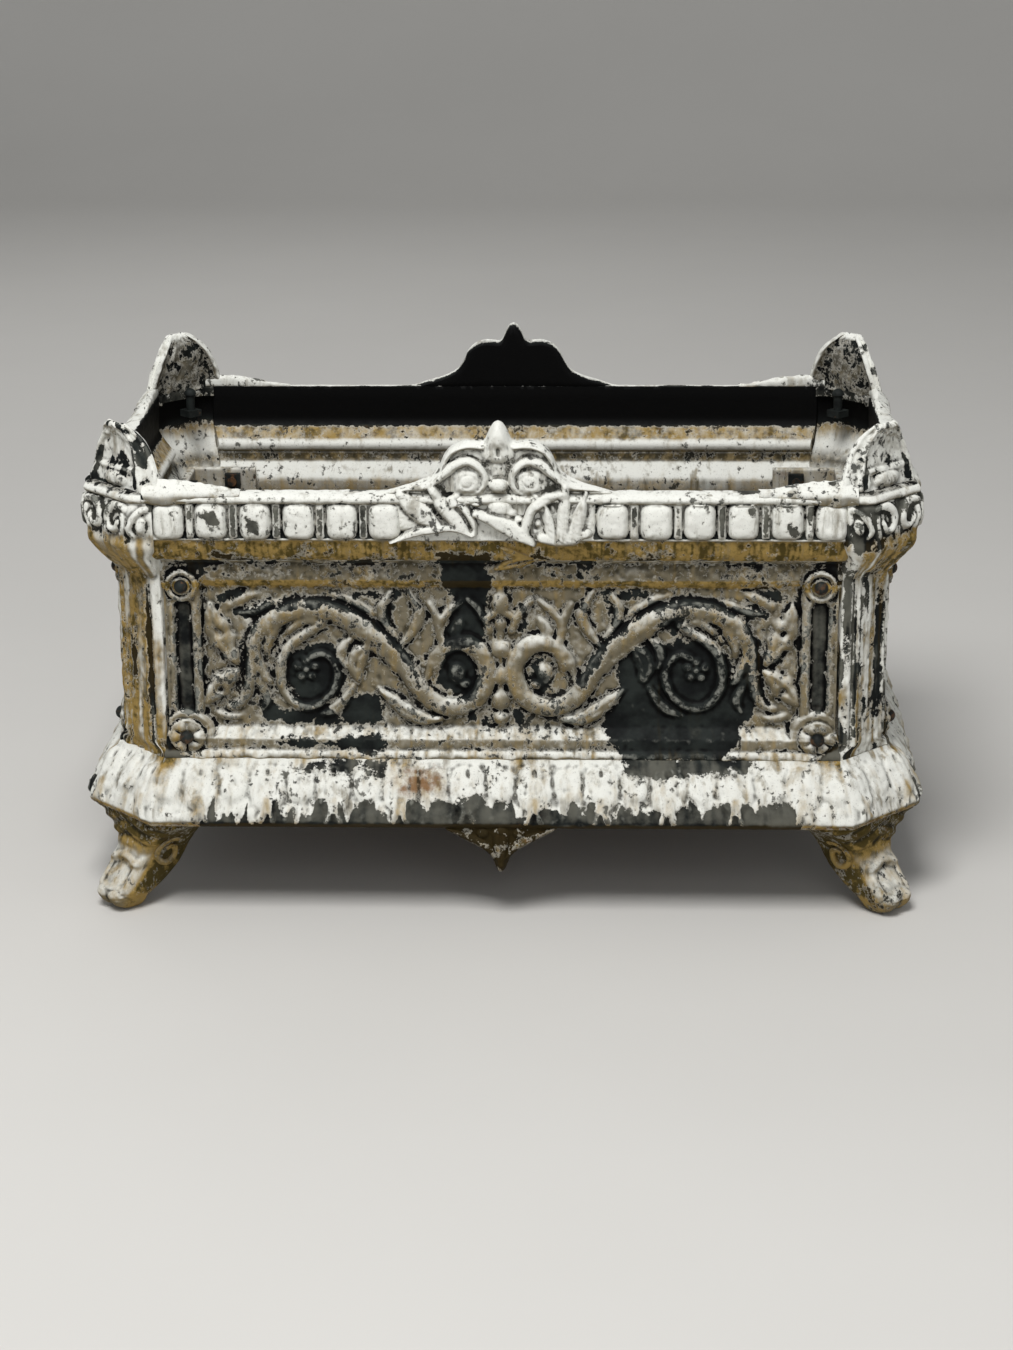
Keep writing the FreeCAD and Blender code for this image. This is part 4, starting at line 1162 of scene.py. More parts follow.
def ear_relief(s, h):
    """Raised lip round the free edge, ridges on both arrises, a sunk shield, a ledge and an oval boss."""
    t = np.abs(s)
    lip = 1.8 * np.maximum(ease(t, 0.84, 0.93), ease(h, 0.88, 0.96))
    arris = 1.6 * np.exp(-((t - EAR_SHARE) / 0.045) ** 2)
    shield = -1.8 * ease(EAR_SHARE - t, 0.05, 0.13) * ease(h, 0.33, 0.39)
    shield = shield * (1 - ease(h + 0.25 * t, 0.8, 0.9))
    ledge = 1.5 * np.exp(-((h - 0.31) / 0.03) ** 2) * (t < EAR_SHARE - 0.04)
    boss = 4.4 * np.sqrt(np.clip(1 - (s / 0.3) ** 2 - ((h - 0.16) / 0.12) ** 2, 0, 1))
    facet = -1.2 * ease(t, EAR_SHARE + 0.05, EAR_SHARE + 0.12)
    facet = facet * (1 - ease(t, 0.78, 0.86)) * ease(h, 0.1, 0.2)
    return np.maximum(lip, np.maximum(arris, boss)) + shield + ledge + facet


def ear_grid(seed, worn_by, rows=62, columns=92):
    """Outer skin from the sill to the tip and inner skin down again; both close up near the free edge."""
    height, depth, bend, end, thick = spline(EAR_LEVELS, rows).T
    s = np.linspace(-1, 1, columns)
    h = (height - height[0]) / (height[-1] - height[0])
    s_all, h_all = np.broadcast_to(s, (rows, columns)), np.broadcast_to(h[:, None], (rows, columns))
    outer = corner_sheet(rim_z + height, depth, bend, end, s, EAR_SHARE)
    inner = corner_sheet(rim_z + height, depth + thick, bend - MITRE * thick, end, s, EAR_SHARE)
    edge = (1 - np.abs(s_all)) / (1 - EAR_SHARE) * (bend - end)[:, None]
    edge = np.minimum(edge, (height[-1] - height)[:, None] * 1.1)
    full = rounded_edge(edge, 4.2)
    middle = (outer + inner) / 2
    outer = middle + (outer - middle) * np.maximum(full, 0.04)[..., None]
    inner = middle + (inner - middle) * np.maximum(full, 0.04)[..., None]
    raised = soften(ear_relief(s_all, h_all), 1) * full
    rough = 0.3 * lumps(raised.shape, seed, 3) + 0.4 * lumps(raised.shape, seed + 1, 9)
    outer = push_out(outer, raised + rough * full)
    inner[..., 1] += 0.5 * lumps(raised.shape, seed + 2, 8) * full
    stripe = np.exp(-((np.abs(s_all) - EAR_SHARE + 0.1) / 0.08) ** 2)
    stripe = stripe * ease(h_all, 0.03, 0.1) * (1 - ease(h_all, 0.5, 0.75))
    hollow = -np.clip((raised - soften(raised, 5)) / 0.9, -1, 1)
    # Painted shade: the inner skin of the hood is darkened away from its free edge.
    dark = ease(edge, 2.0, 7.0)
    wear = 0.24 * lumps(raised.shape, seed + 3, 30)
    worn = worn_by - 0.4 + wear + 0.4 * np.clip(hollow, 0, 1)
    worn = np.maximum(worn, worn_by - 0.74 + 1.1 * stripe + 0.6 * wear)
    dark = dark[::-1]
    marks = {"hollow": np.vstack([hollow, 0.5 * dark]), "bare": np.vstack([worn, -0.7 + 0.62 * dark]),
             "bright": np.vstack([0.72 - 0.5 * wear, 0.75 - 0.5 * dark]), "ochre": 0.08}
    return np.concatenate([outer, inner[::-1]]), marks


print("ear stands %.1f mm above the rim" % EAR_LEVELS[-1][0])

# %% [markdown]
# ## Leaf along the rim
# From the foot of every ear a long leaf runs out along each rim bar and thins to nothing. Its section
# has seven corners whose places change along the leaf. Easing the ring turns the corners into soft
# swellings.

# %% Leaf wings
WING_START, WING_LENGTH = -5.0, 90.0


def ear_wing(seed, columns=60):
    """Leaf along the rim: a many-cornered section, eased to a soft one, tapering away from the ear."""
    t = np.linspace(0, 1, columns)
    tall = np.interp(t, [0, 0.15, 0.4, 0.7, 0.9, 1], [10, 12, 10.5, 5.5, 2, 0.5])
    droop = np.interp(t, [0, 0.2, 0.35, 0.55, 0.8, 1], [5, 9, 7, 3.5, 1.5, 0.2])
    reach = np.interp(t, [0, 0.25, 0.6, 1], [3.5, 4.5, 2.5, 0.4])
    one = np.ones(columns)
    corners = [(23 + 3 * t, rim_z + tall), (RIM_D + 3 - reach, rim_z - 2 + 0.25 * tall - droop * 0.3),
               (RIM_D + 3 - 0.6 * reach, rim_z - 4 - droop), (RIM_D + 6, rim_z - 4.5 - 0.6 * droop),
               (20, rim_z - 5), (29, rim_z - 2), (29.4, rim_z + 0.3 + 0.7 * tall)]
    ring = np.array([np.stack([a * one, b * one], -1) for a, b in corners])
    closed = np.concatenate([ring, ring[:1]])
    share = np.linspace(0, len(ring), 5 * len(ring), endpoint=False)
    low = share.astype(int)
    f = (share - low)[:, None, None]
    loop = eased_ring(closed[low] * (1 - f) + closed[low + 1] * f)
    u = np.broadcast_to(LONG + WING_START - WING_LENGTH * t, loop.shape[:2])
    loop += 0.3 * np.stack([lumps(loop.shape[:2], seed, 4), lumps(loop.shape[:2], seed + 9, 4)], -1)
    # Painted shade: the underside of the leaf is darker and less white.
    under = ease(rim_z + 3 - loop[..., 1], 0, 6)
    wear = 0.2 * lumps(loop.shape[:2], seed + 3, 8)
    marks = {"hollow": 0.3 * under, "bare": -0.6 + wear + 0.15 * under, "ochre": 0.12 + 0.15 * under,
             "bright": 0.9 - 0.55 * under}
    return np.concatenate([u[..., None], loop], -1), marks


print("leaf wing %.0f mm long" % WING_LENGTH)

# %% [markdown]
# ## Sill and finished ears
# A ledge closes the joint between post and ear, with a dark seam where the ear is seated. It is one
# more set of bent strips. Hood, sill and both leaves are joined to one casting for each corner.

# %% Sills and ears
# level, depth of the front facet and bend of the sill under the ear
SILL_LEVELS = [(post_z + 0.3, RIM_D + 3, 7.5), (post_z + 1.6, RIM_D + 0.8, 8.6),
               (post_z + 4.5, RIM_D + 0.2, 8.8), (post_z + 7.5, RIM_D + 1.6, 7.5),
               (rim_z - 0.4, RIM_D + 4.5, 4), (rim_z + 0.4, RIM_D + 9, -1)]
SILL_BACK, SILL_BEND = 34.0, 8 - MITRE * 20


def ear_sill(seed):
    """Ledge between post and ear: bent strips with rounded edges, and a dark seam under the ear."""
    z, depth, bend = spline(SILL_LEVELS, 16).T
    s = np.linspace(-1, 1, 80)
    outer = corner_sheet(z, depth, bend, -MITRE * depth, s, POST_SHARE)
    back = np.full(2, SILL_BACK)
    inner = corner_sheet(np.array([rim_z - 1, post_z + 0.3]), back, np.full(2, SILL_BEND), -MITRE * back, s,
                         POST_SHARE)
    outer[1:-1, :, 1] += 0.45 * lumps(outer.shape[:2], seed, 6)[1:-1]
    seam = ease(outer[..., 2], rim_z - 2.4, rim_z - 0.6)
    pad = np.ones((2, len(s)))
    marks = {"hollow": np.vstack([0.8 * seam, 0.6 * pad]), "bright": 0.7, "ochre": 0.15,
             "bare": np.vstack([-0.45 + 0.45 * seam, 0.1 * pad])}
    return np.concatenate([outer, inner]), marks


EAR_WEAR = (0.25, 0.08, 0.0, 0.0)
for k, corner in enumerate(CORNERS):
    hood, hood_marks = ear_grid(131 + 5 * k, EAR_WEAR[k])
    wing, wing_marks = ear_wing(171 + k)
    sill, sill_marks = ear_sill(181 + k)
    parts = [shell(to_corner(hood, corner), hood_marks), shell(to_corner(sill, corner), sill_marks)]
    for side, half_len in zip(corner.split("_"), (LONG, END)):
        leaf = (wing - [LONG - half_len, 0, 0]) * [side_sign(side, corner), 1, 1]
        parts.append(shell(to_side(leaf, side), wing_marks))
    casting(corner + "_ear_casting", parts, [corner + "_ear"])

# %% [markdown]
# ## The flared base
# The base is one ring casting whose flare runs out to a thin rolled edge. Its eight sides share the mitre
# formula, so their columns are laid end to end to close the ring. The section below is read from the top
# of the flare to its edge, then back up inside to the ledge that carries the floor plate.

# %% Base section
BASE_OUT = [(30, seat_z), (28.5, seat_z - 3), (26.5, seat_z - 6), (22, seat_z - 11.5),
            (17.5, seat_z - 18), (12.5, seat_z - 26), (7.5, seat_z - 34), (3.6, seat_z - 41.5),
            (1.2, seat_z - 48), (0.4, seat_z - 52.5), (1.2, seat_z - 56), (4, edge_z)]
BASE_IN = [(13, edge_z), (13, edge_z + 10), (20, edge_z + 25), (30, edge_z + 41), (38, seat_z - 8),
           (80, seat_z - 8), (80, seat_z), (56, seat_z)]
LOBE_PITCH = 63.0
BASE_INSIDE = {"rust": 0.5, "hollow": 0.5, "bright": 0.2, "ochre": 0.3, "bare": -0.1}
BASE_ROUND = (("front", LONG, 1), ("front_right", CANTED, 1), ("right", END, 1), ("back_right", CANTED, -1),
              ("back", LONG, 1), ("back_left", CANTED, 1), ("left", END, 1), ("front_left", CANTED, -1))
BASE_PATCHES = {
    "front": [[(-186, 152), (-184, 143), (-150, 140), (-132, 147), (-112, 138), (-106, 152)],
              [(-42, 102), (-38, 121), (-24, 126), (-14, 114), (-4, 122), (4, 118), (6, 102)],
              [(112, 156), (118, 142), (150, 138), (190, 141), (228, 143), (239, 152), (205, 156)]],
    "back": [[(60, 153), (66, 136), (110, 130), (130, 153)]],
    "left": [[(-60, 153), (-52, 140), (-20, 138), (-10, 153)]],
    "right": [[(20, 153), (28, 138), (60, 142), (70, 153)]],
}
print("profile points outside and inside:", len(BASE_OUT), len(BASE_IN))

# %% [markdown]
# ## Leaf and tongue
# The flare carries leaves and tongues by turns with forked darts below, all half drowned in paint. The
# moulding repeats along the base, so it is a formula in u folded by the pitch. The darts come back as a
# second map, because the paint has kept better on them.

# %% Leaf and tongue moulding
def base_relief(u, z):
    """Leaf and tongue moulding, and its darts as a second map.

    Each pitch has a leaf with veins in its middle, and a narrow tongue stands between two leaves. The head
    of a leaf is pierced by an eye, and a dart forks below its tip.
    """
    x = np.mod(u + LOBE_PITCH / 2, LOBE_PITCH) - LOBE_PITCH / 2
    y = np.abs(np.mod(u, LOBE_PITCH) - LOBE_PITCH / 2)
    low, high = edge_z + 24 + 9 * (x / 13) ** 2, seat_z - 8 - 5 * (x / 13) ** 2
    tongue = 3.9 * np.clip(1 - (x / 13.5) ** 4, 0, 1) ** 0.5 * ease(z, low - 3, low + 4)
    tongue = tongue * (1 - ease(z, high - 4, high + 3))
    half = np.interp(z, [edge_z + 14, edge_z + 22, edge_z + 34, seat_z - 14, seat_z - 5],
                     [4, 13, 17.5, 16, 11])
    leaf = 5.0 * np.clip(1 - (y / half) ** 3, 0, 1) ** 0.5 - 1.3 * np.exp(-((y - 0.55 * half) / 1.7) ** 2)
    leaf = leaf * ease(z, edge_z + 14, edge_z + 20) * (1 - ease(z, seat_z - 10, seat_z - 3))
    eye = 5.5 * np.clip(1 - (y / 3.4) ** 2 - ((z - seat_z + 11) / 4.4) ** 2, 0, 1)
    darts = Relief(y, z)
    darts.stroke([(1.2, edge_z + 27), (2.8, edge_z + 17), (6.6, edge_z + 6)], [2.4, 3, 2.8], 5.2)
    return np.maximum(np.maximum(tongue, leaf), darts.height) - eye, darts.height


print("a leaf every %.0f mm" % LOBE_PITCH)

# %% [markdown]
# ## Drips of paint
# Paint ran down the flare and stopped in ragged drips, below which the iron is bare. They could be cut out
# of the paint one by one. Here every drip is half an ellipse of random place, width and length, and the
# longest at each place counts.

# %% Paint drips
DRIPS = 110


def drip_line(u, seed, low=98.0, high=120.0):
    """Ragged lower edge of the paint: drips of random place, width and length hang from one level."""
    rng = np.random.default_rng(seed)
    centre = rng.uniform(-345, 345, DRIPS)
    half = rng.uniform(2.5, 7.5, DRIPS)
    length = rng.uniform(0, 1, DRIPS) ** 1.6
    x = (u[0][:, None] - centre) / half
    hang = (length * np.sqrt(np.clip(1 - x ** 2, 0, 1))).max(1)
    return high - (high - low) * hang - 40 * ease(np.abs(u[0]), 262, 284)


print("drips on a side:", DRIPS)

# %% [markdown]
# ## One side of the base
# Relief and runs of paint stand out from the flare, which leans outwards all the way down. A push
# straight out would draw the leaves long on the slope. So the push is made smaller where the flare
# leans, and part of it goes upwards.

# %% Side of the base
BASE_STEP = 1.85


def base_side(k, half_len, way, outer, inner):
    """Grid of one side with its relief and runs of paint, and the height of its darts."""
    n = len(outer)
    grid = loop_grid(half_len, outer, inner, int(2 * half_len / BASE_STEP), 0.0)[:, ::way]
    u, depth, z = (grid[:n, :, i] for i in range(3))
    raised, darts = (soften(height, 1) for height in base_relief(u, z))
    drips = 0.6 * lumps(u.shape, 200 + k, 10) + 0.25 * lumps(u.shape, 220 + k, 3)
    drips = drips + 0.35 * runs(u.shape, 240 + k, 9)
    away = ease(half_len - np.abs(u), 2, 10)
    level = ease(z, edge_z + 2, edge_z + 10) * (1 - ease(z, seat_z - 6, seat_z - 1))
    slope = np.gradient(depth, axis=0) / np.maximum(np.abs(np.gradient(z, axis=0)), 0.2)
    lean = np.sqrt(1 + np.clip(slope, -2, 2) ** 2)
    moved = (raised * away + drips * away) * level / lean
    grid[:n, :, 1] = depth - moved
    grid[:n, :, 2] = z + 0.5 * moved * np.clip(np.abs(slope), 0, 1)
    return grid, darts


print("columns every %.2f mm" % BASE_STEP)

# %% [markdown]
# ## The ring of eight sides
# The long sides have suffered most in the middle and are calm and white towards the corners. Each side
# is worn in its own coordinates and then turned into place. The last column of a side is dropped,
# because the next side begins there.

# %% Base ring
def base_wear(k, name, half_len, face, darts):
    """Marks outside: bare patches, hanging paint on all but canted sides, chips, a lower edge darkened partly
    as stain and partly as painted shade.
    """
    u, depth, z = (face[..., i] for i in range(3))
    bare = bare_iron(u, z, BASE_PATCHES.get(name, []))
    if half_len > CANTED:
        hanging = np.clip((drip_line(u, 260 + k) - z) / EDGE_WIDTH, -1, 0.9)
        bare = np.maximum(bare, hanging - 0.22 * darts)
    zone = lumps(u.shape, 280 + k, 160)
    streak = runs(u.shape, 290 + k, 12)
    calm = ease(np.abs(u), 170, 250) if half_len == LONG else 0.6 + 0.4 * (half_len == CANTED)
    hollow = pressed(depth, 6, 1.1) * (1 - 0.45 * calm)
    chipped = -0.7 - 0.5 * calm + 0.12 * zone + 0.5 * np.clip(hollow, 0, 1) + 0.08 * streak
    # Painted shade mixed with stain: the lower edge, facing down, is made darker, browner and less white.
    under = 1 - ease(z, edge_z + 1, edge_z + 8)
    stain = np.exp(-((u + 75) / 26) ** 2 - ((z - 134) / 15) ** 2) * (name == "front")
    return {"hollow": hollow, "bare": np.maximum.reduce([bare, chipped, -0.8 + 0.62 * under]),
            "rust": 0.3 * under + 0.55 * stain,
            "ochre": under + 0.18 + 0.12 * zone + 0.1 * streak + 0.06 * darts + 0.3 * stain,
            "bright": 0.9 * (1 - under) + 0.1 * zone + 0.1 * streak}


def base_ring():
    """All sides end to end: columns of points, and the marks of outside and inside."""
    outer, inner = walk(BASE_OUT, 1.35, 1), walk(BASE_IN, 30)
    grids, sides = [], []
    for k, (name, half_len, way) in enumerate(BASE_ROUND):
        grid, darts = base_side(k, half_len, way, outer, inner)
        marks = base_wear(k, name, half_len, grid[:len(outer)], darts)
        inside = np.ones((len(inner), grid.shape[1]))
        turned = to_corner if half_len == CANTED else to_side
        grids.append(turned(grid, name)[:, :-1])
        sides.append({m: np.vstack([marks[m], BASE_INSIDE[m] * inside])[:, :-1] for m in MARKS})
    return np.concatenate(grids, 1), {m: np.concatenate([s[m] for s in sides], 1) for m in MARKS}


print("sides in the ring:", len(BASE_ROUND))

# %% [markdown]
# ## Pendant leaves
# Under the middle of each long side hangs a pointed leaf, part of the same casting. It is made like the
# crest: two sheets drawn together at the outline, with a ridge and curls in front. Its paint has gone
# almost wholly.

# %% Pendants and base
DROP_OUTLINE = [(0, -46), (3.5, -43.5), (6, -38), (9, -31), (14, -25.5), (22, -20), (33, -14), (43, -8),
                (52, -3), (56, 1)]


def drop_grid(columns=110, rows=46):
    """Pendant leaf: front and back sheets between base edge and outline, with a ridge and two curls."""
    outline = spline([(a, edge_z + h) for a, h in DROP_OUTLINE], 120)
    share = np.concatenate([np.linspace(1, 0, rows), np.linspace(0, 1, 11)[1:]])
    u, z, pillow = plate(outline, edge_z + 6, columns, share, 5.5, hangs=True)
    carved = Relief(np.abs(u), z)
    carved.stroke([(0, edge_z - 46), (0, edge_z - 30), (0, edge_z - 6)], [3, 5, 9], [3, 4, 4.5], "leaf")
    curl = [(50, edge_z - 2), (30, edge_z - 10), (14, edge_z - 19), (6, edge_z - 30)]
    carved.stroke(curl, [2, 5, 5, 2], 3.4)
    carved.dome(17, edge_z - 5, 6, 5, 3)
    carved.dome(0, edge_z - 38, 4.5, 5, 4)
    front = (np.arange(len(share)) < rows)[:, None]
    depth = np.where(front, 9.4 - 4.6 * pillow - carved.height * pillow, 9.8 + 4.6 * pillow)
    marks = {"hollow": np.clip(0.5 - 0.1 * carved.height, 0, 1), "bare": 0.2 - 0.03 * carved.height,
             "ochre": 1.5, "rust": 0.2}
    return np.stack([u, depth, z], -1), marks


base_points, base_marks = base_ring()
drop, drop_marks = drop_grid()
parts = [shell(base_points, base_marks, ring=True)]
parts += [shell(to_side(drop, side), drop_marks) for side in ("front", "back")]
casting("base_casting", parts, ["base"])

# %% [markdown]
# ## Splayed feet
# Each foot leaves the base as a wide bracket, narrows to an ankle and kicks out to a blunt toe with two
# bumps. Stacked rounded sections follow that line. The flat front of the shin is sunk within a raised
# border.

# %% Foot
# level, distance in from the canted face, thickness along the diagonal, width across it
FOOT_LEVELS = [(0, 6, 16, 20), (1.5, 4.5, 22, 27), (5, 3, 28, 34), (10, 2.5, 35, 40), (15, 3.5, 42, 46),
               (20, 8, 50, 50), (27, 16, 57, 52), (35, 25, 61, 52), (44, 33, 63, 52), (53, 38.5, 64, 54),
               (62, 42, 67, 62), (70, 43.5, 70, 74), (78, 43, 71, 92), (84, 42, 71, 110),
               (89, 41, 71, 130), (92.6, 40.5, 71, 142)]
FOOT_ROOM, FOOT_SQUARE = (cant / 2 - 7) * math.sqrt(2), 0.62


def foot_grid(seed, rows=110, columns=96):
    """Superellipse sections: half width |cos|^p and half thickness |sin|^p about a drifting centre."""
    levels = spline(FOOT_LEVELS, rows)
    z, centre, thick, wide = (levels[:, k:k + 1] for k in range(4))
    turn = np.linspace(0, 2 * math.pi, columns, endpoint=False)
    c, s = np.cos(turn), np.sin(turn)
    u = wide / 2 * np.sign(c) * np.abs(c) ** FOOT_SQUARE
    d = np.maximum(centre - thick / 2 * np.sign(s) * np.abs(s) ** FOOT_SQUARE, np.abs(u) - FOOT_ROOM)
    front = ease(s, 0.2, 0.6) * np.ones_like(z)
    shin = ease(z, 17, 24) * (1 - ease(z, 48, 54))
    border = 2.4 * np.exp(-((np.abs(u) - 0.38 * wide) / 3.0) ** 2) * shin
    knee = 3.2 * np.exp(-((z - 52 + 0.35 * np.abs(u)) / 3.0) ** 2) * (np.abs(u) < 0.44 * wide)
    sunk = -2.2 * ease(0.32 * wide - np.abs(u), 0, 3) * ease(z, 22, 27)
    sunk = sunk * (1 - ease(z + 0.35 * np.abs(u), 44, 48))
    toes = 4.2 * np.sqrt(np.clip(1 - ((np.abs(u) - 11) / 11) ** 2 - ((z - 11) / 11) ** 2, 0, 1))
    leaf = 1.5 * np.sin(0.42 * z + 0.16 * np.abs(u)) * ease(z, 58, 66)
    raised = front * (border + knee + sunk + toes + leaf)
    d = d - soften(raised, 1) + 0.35 * lumps(d.shape, seed, 4) * ease(z, 1, 5)
    points = np.stack([u, d, np.broadcast_to(z, u.shape)], -1)
    # Painted shade mixed with yellowed paint: the flanks and the top of the foot, under the flare, get more
    # Hollow and Ochre and less white.
    high = ease(z, 50, 80) * np.ones_like(u)
    flank = (1 - front) * ease(z, 8, 26)
    hollow = -np.clip((raised - soften(raised, 5)) / 1.2, -1, 1)
    zone = lumps(u.shape, seed + 50, 60)
    marks = {"hollow": hollow + 0.3 * flank + 0.12 * high * front,
             "bare": -0.45 + 0.16 * high + 0.1 * flank - 0.1 * front * (1 - high) + 0.16 * zone,
             "ochre": 0.66 + 0.8 * high - 0.22 * front * (1 - high) + 0.8 * flank,
             "bright": 0.36 * (1 - high) * (1 - flank), "rust": 0.12 * high}
    return np.swapaxes(points, 0, 1), {m: v.T for m, v in marks.items()}


print("foot %.1f mm high" % FOOT_LEVELS[-1][0])

# %% [markdown]
# ## Volutes and finished feet
# A ring-shaped volute sits on each flank of a foot. A curve with bevel depth would do it too; here a
# circle is carried round a spiral by formula, so the tube can follow the swelling of the flank.

# %% Volutes and feet
RING_D, RING_Z, RING_R = 35.0, 53.0, 15.0


def volute_tube(side, tube=3.2, turns=1.2, columns=72, rounds=10):
    """Tube round a spiral: the radius shrinks with the angle, and the tube lies just proud of the flank."""
    t = np.linspace(0, 1, columns)
    angle = 2 * math.pi * turns * t + 0.9
    radius = RING_R * (1 - 0.62 * t)
    a = np.linspace(0, 2 * math.pi, rounds, endpoint=False)[:, None]
    grow = tube * (0.75 + 0.25 * np.sin(math.pi * t))
    r = radius + grow * np.cos(a)
    z = RING_Z + r * np.sin(angle)
    levels = np.array(FOOT_LEVELS)
    flank = np.interp(z, levels[:, 0], levels[:, 3] / 2) - 0.6 + 1.6 * t
    points = np.stack([side * (flank + grow * np.sin(a)), RING_D + r * np.cos(angle), z], -1)
    return points, {"hollow": -0.15, "bare": -0.5, "ochre": 0.7, "bright": 0.3, "rust": 0.1}


for k, corner in enumerate(CORNERS):
    grid, marks = foot_grid(301 + k)
    parts = [shell(to_corner(grid, corner), marks)]
    for side in (-1, 1):
        tube, tube_marks = volute_tube(side)
        parts.append(shell(to_corner(tube, corner), tube_marks))
    casting(corner + "_foot_casting", parts, [corner + "_foot"])
print("castings:", len(castings), "faces:", sum(len(c.data.polygons) for c in castings))

# %% [markdown]
# ## Nodes with short names
# Shader trees written in code get long. A small helper keeps them readable: an input is linked when it is
# given another node's socket, and set when it is given a number or a colour. Positions come in metres, so
# a noise scale of 100 means about one blotch per centimetre.

# %% Shader helper
class Graph:
    """Adds nodes to one tree."""

    def __init__(self, tree):
        self.tree = tree

    def feed(self, made, inputs):
        """Links or sets the named inputs of a node and gives its outputs."""
        for name, value in inputs.items():
            if isinstance(value, bpy.types.NodeSocket):
                self.tree.links.new(value, made.inputs[name])
            else:
                made.inputs[name].default_value = value
        return made.outputs

    def node(self, kind, inputs, out=0, **settings):
        """New node with its settings and inputs; gives one output."""
        made = self.tree.nodes.new(kind)
        for name, value in settings.items():
            setattr(made, name, value)
        return self.feed(made, inputs)[out]

    def effect(self, group_tree, values):
        """Group node fed with those of the values that it asks for; gives its outputs."""
        made = self.tree.nodes.new("ShaderNodeGroup")
        made.node_tree = group_tree
        return self.feed(made, {s.name: values[s.name] for s in made.inputs if s.name in values})

    def mark(self, name):
        """Value stored on the vertices."""
        return self.node("ShaderNodeAttribute", {}, "Fac", attribute_name=name)

    def noise(self, where, scale, detail=4.0, rough=0.55):
        """Cloudy values round one half."""
        inputs = {"Vector": where, "Scale": scale, "Detail": detail, "Roughness": rough}
        return self.node("ShaderNodeTexNoise", inputs)

    def math(self, operation, a, b=0.0):
        """Sum, product or another operation on two values."""
        return self.node("ShaderNodeMath", {0: a, 1: b}, operation=operation)

    def scaled(self, value, factor, shift=0.0):
        """Value times factor plus shift."""
        return self.node("ShaderNodeMath", {0: value, 1: factor, 2: shift}, operation="MULTIPLY_ADD")

    def ramp(self, value, low, high):
        """Smooth step from 0 at low to 1 at high."""
        return self.node("ShaderNodeMapRange", {"Value": value, "From Min": low, "From Max": high},
                         interpolation_type="SMOOTHSTEP")

    def blend(self, share, a, b):
        """Colour a where share is 0, colour b where it is 1."""
        return self.node("ShaderNodeMix", {0: share, 6: a, 7: b}, 2, data_type="RGBA")

    def stretch(self, where, scale):
        """Coordinates drawn out along an axis."""
        return self.node("ShaderNodeMapping", {"Vector": where, "Scale": scale})


print("helper makes:", [name for name in vars(Graph) if not name.startswith("_")])

# %% [markdown]
# ## Shared effects
# The finishes are put together from three effects: flaking, old paint and old iron. A node group is built
# once and then stands as a single node wherever it is wanted. Each group reads the place and some marks,
# and gives numbers or a colour.

# %% Groups with named sockets
def floats(*names):
    """Sockets that carry one number each."""
    return [(name, "Float") for name in names]


def group(name, inputs, outputs):
    """New shader group with named sockets; gives its graph, its input sockets and its output node."""
    tree = bpy.data.node_groups.new(name, "ShaderNodeTree")
    for label, kind in inputs:
        tree.interface.new_socket(label, in_out="INPUT", socket_type="NodeSocket" + kind)
    for label, kind in outputs:
        tree.interface.new_socket(label, in_out="OUTPUT", socket_type="NodeSocket" + kind)
    return Graph(tree), tree.nodes.new("NodeGroupInput").outputs, tree.nodes.new("NodeGroupOutput")


WHERE = ("Where", "Vector")
SURFACE = [("Colour", "Color")] + floats("Roughness", "Height")
print("a surface group gives:", [name for name, kind in SURFACE])

# %% [markdown]
# ## Where paint still holds
# Flaking paint has crisp, ragged edges with a pale broken rim, which is partly chalk and partly a painted
# highlight. The first group turns the stored distance to a bare patch into such an edge by adding noise at
# three sizes before cutting it off. A second, finer noise cuts many small chips, more of them along ridges
# and in the grooves where water stands.

# %% Group: flaking
g, given, put = group("flaking", [WHERE] + floats("Bare", "Hollow"), floats("Iron", "Lip", "Film"))
coarse = g.noise(given["Where"], 75.0, 6.0, 0.64)
fine = g.noise(given["Where"], 330.0, 5.0, 0.6)
ragged = g.math("ADD", g.scaled(coarse, 1.9, -0.95), g.scaled(fine, 0.7, -0.35))
patch = g.math("ADD", given["Bare"], ragged)
spots = g.noise(g.stretch(given["Where"], (1.0, 1.0, 0.8)), 150.0, 8.0, 0.66)
zones = g.noise(given["Where"], 16.0, 2.0, 0.5)
worn = g.math("ABSOLUTE", given["Hollow"])
chip = g.math("ADD", g.scaled(spots, 5.0, -3.12), g.scaled(zones, 2.0, -1.0))
chip = g.math("ADD", chip, g.scaled(worn, 0.34))
firm = g.math("MINIMUM", g.math("ADD", given["Bare"], 0.7), 0.0)
chip = g.math("ADD", chip, g.scaled(firm, 0.9))
both = g.math("MAXIMUM", patch, chip)
thin = g.scaled(g.ramp(chip, 0.0, 0.12), 0.9)
iron = g.math("MAXIMUM", g.ramp(patch, 0.0, 0.05), thin)
lip = g.math("MULTIPLY", g.ramp(both, -0.22, -0.03), g.math("SUBTRACT", 1.0, iron))
film = g.math("SUBTRACT", 1.0, g.ramp(both, -0.06, 0.05))
g.feed(put, {"Iron": iron, "Lip": lip, "Film": film})
flaking = g.tree
print("flaking:", len(flaking.nodes), "nodes")

# %% [markdown]
# ## Old paint
# What is left of the paint is chalky white on the parts marked bright and, as painted top light, on faces
# that look upwards. It is drab on the upright field and yellow-brown where it is sheltered, turning olive
# where the Ochre mark is high: partly stain and, on the flanks of the feet, painted shade. It could be
# painted on by hand, but then it would not follow a change of shape. The stored marks say which place is
# which, and noise keeps the areas from ending in lines.

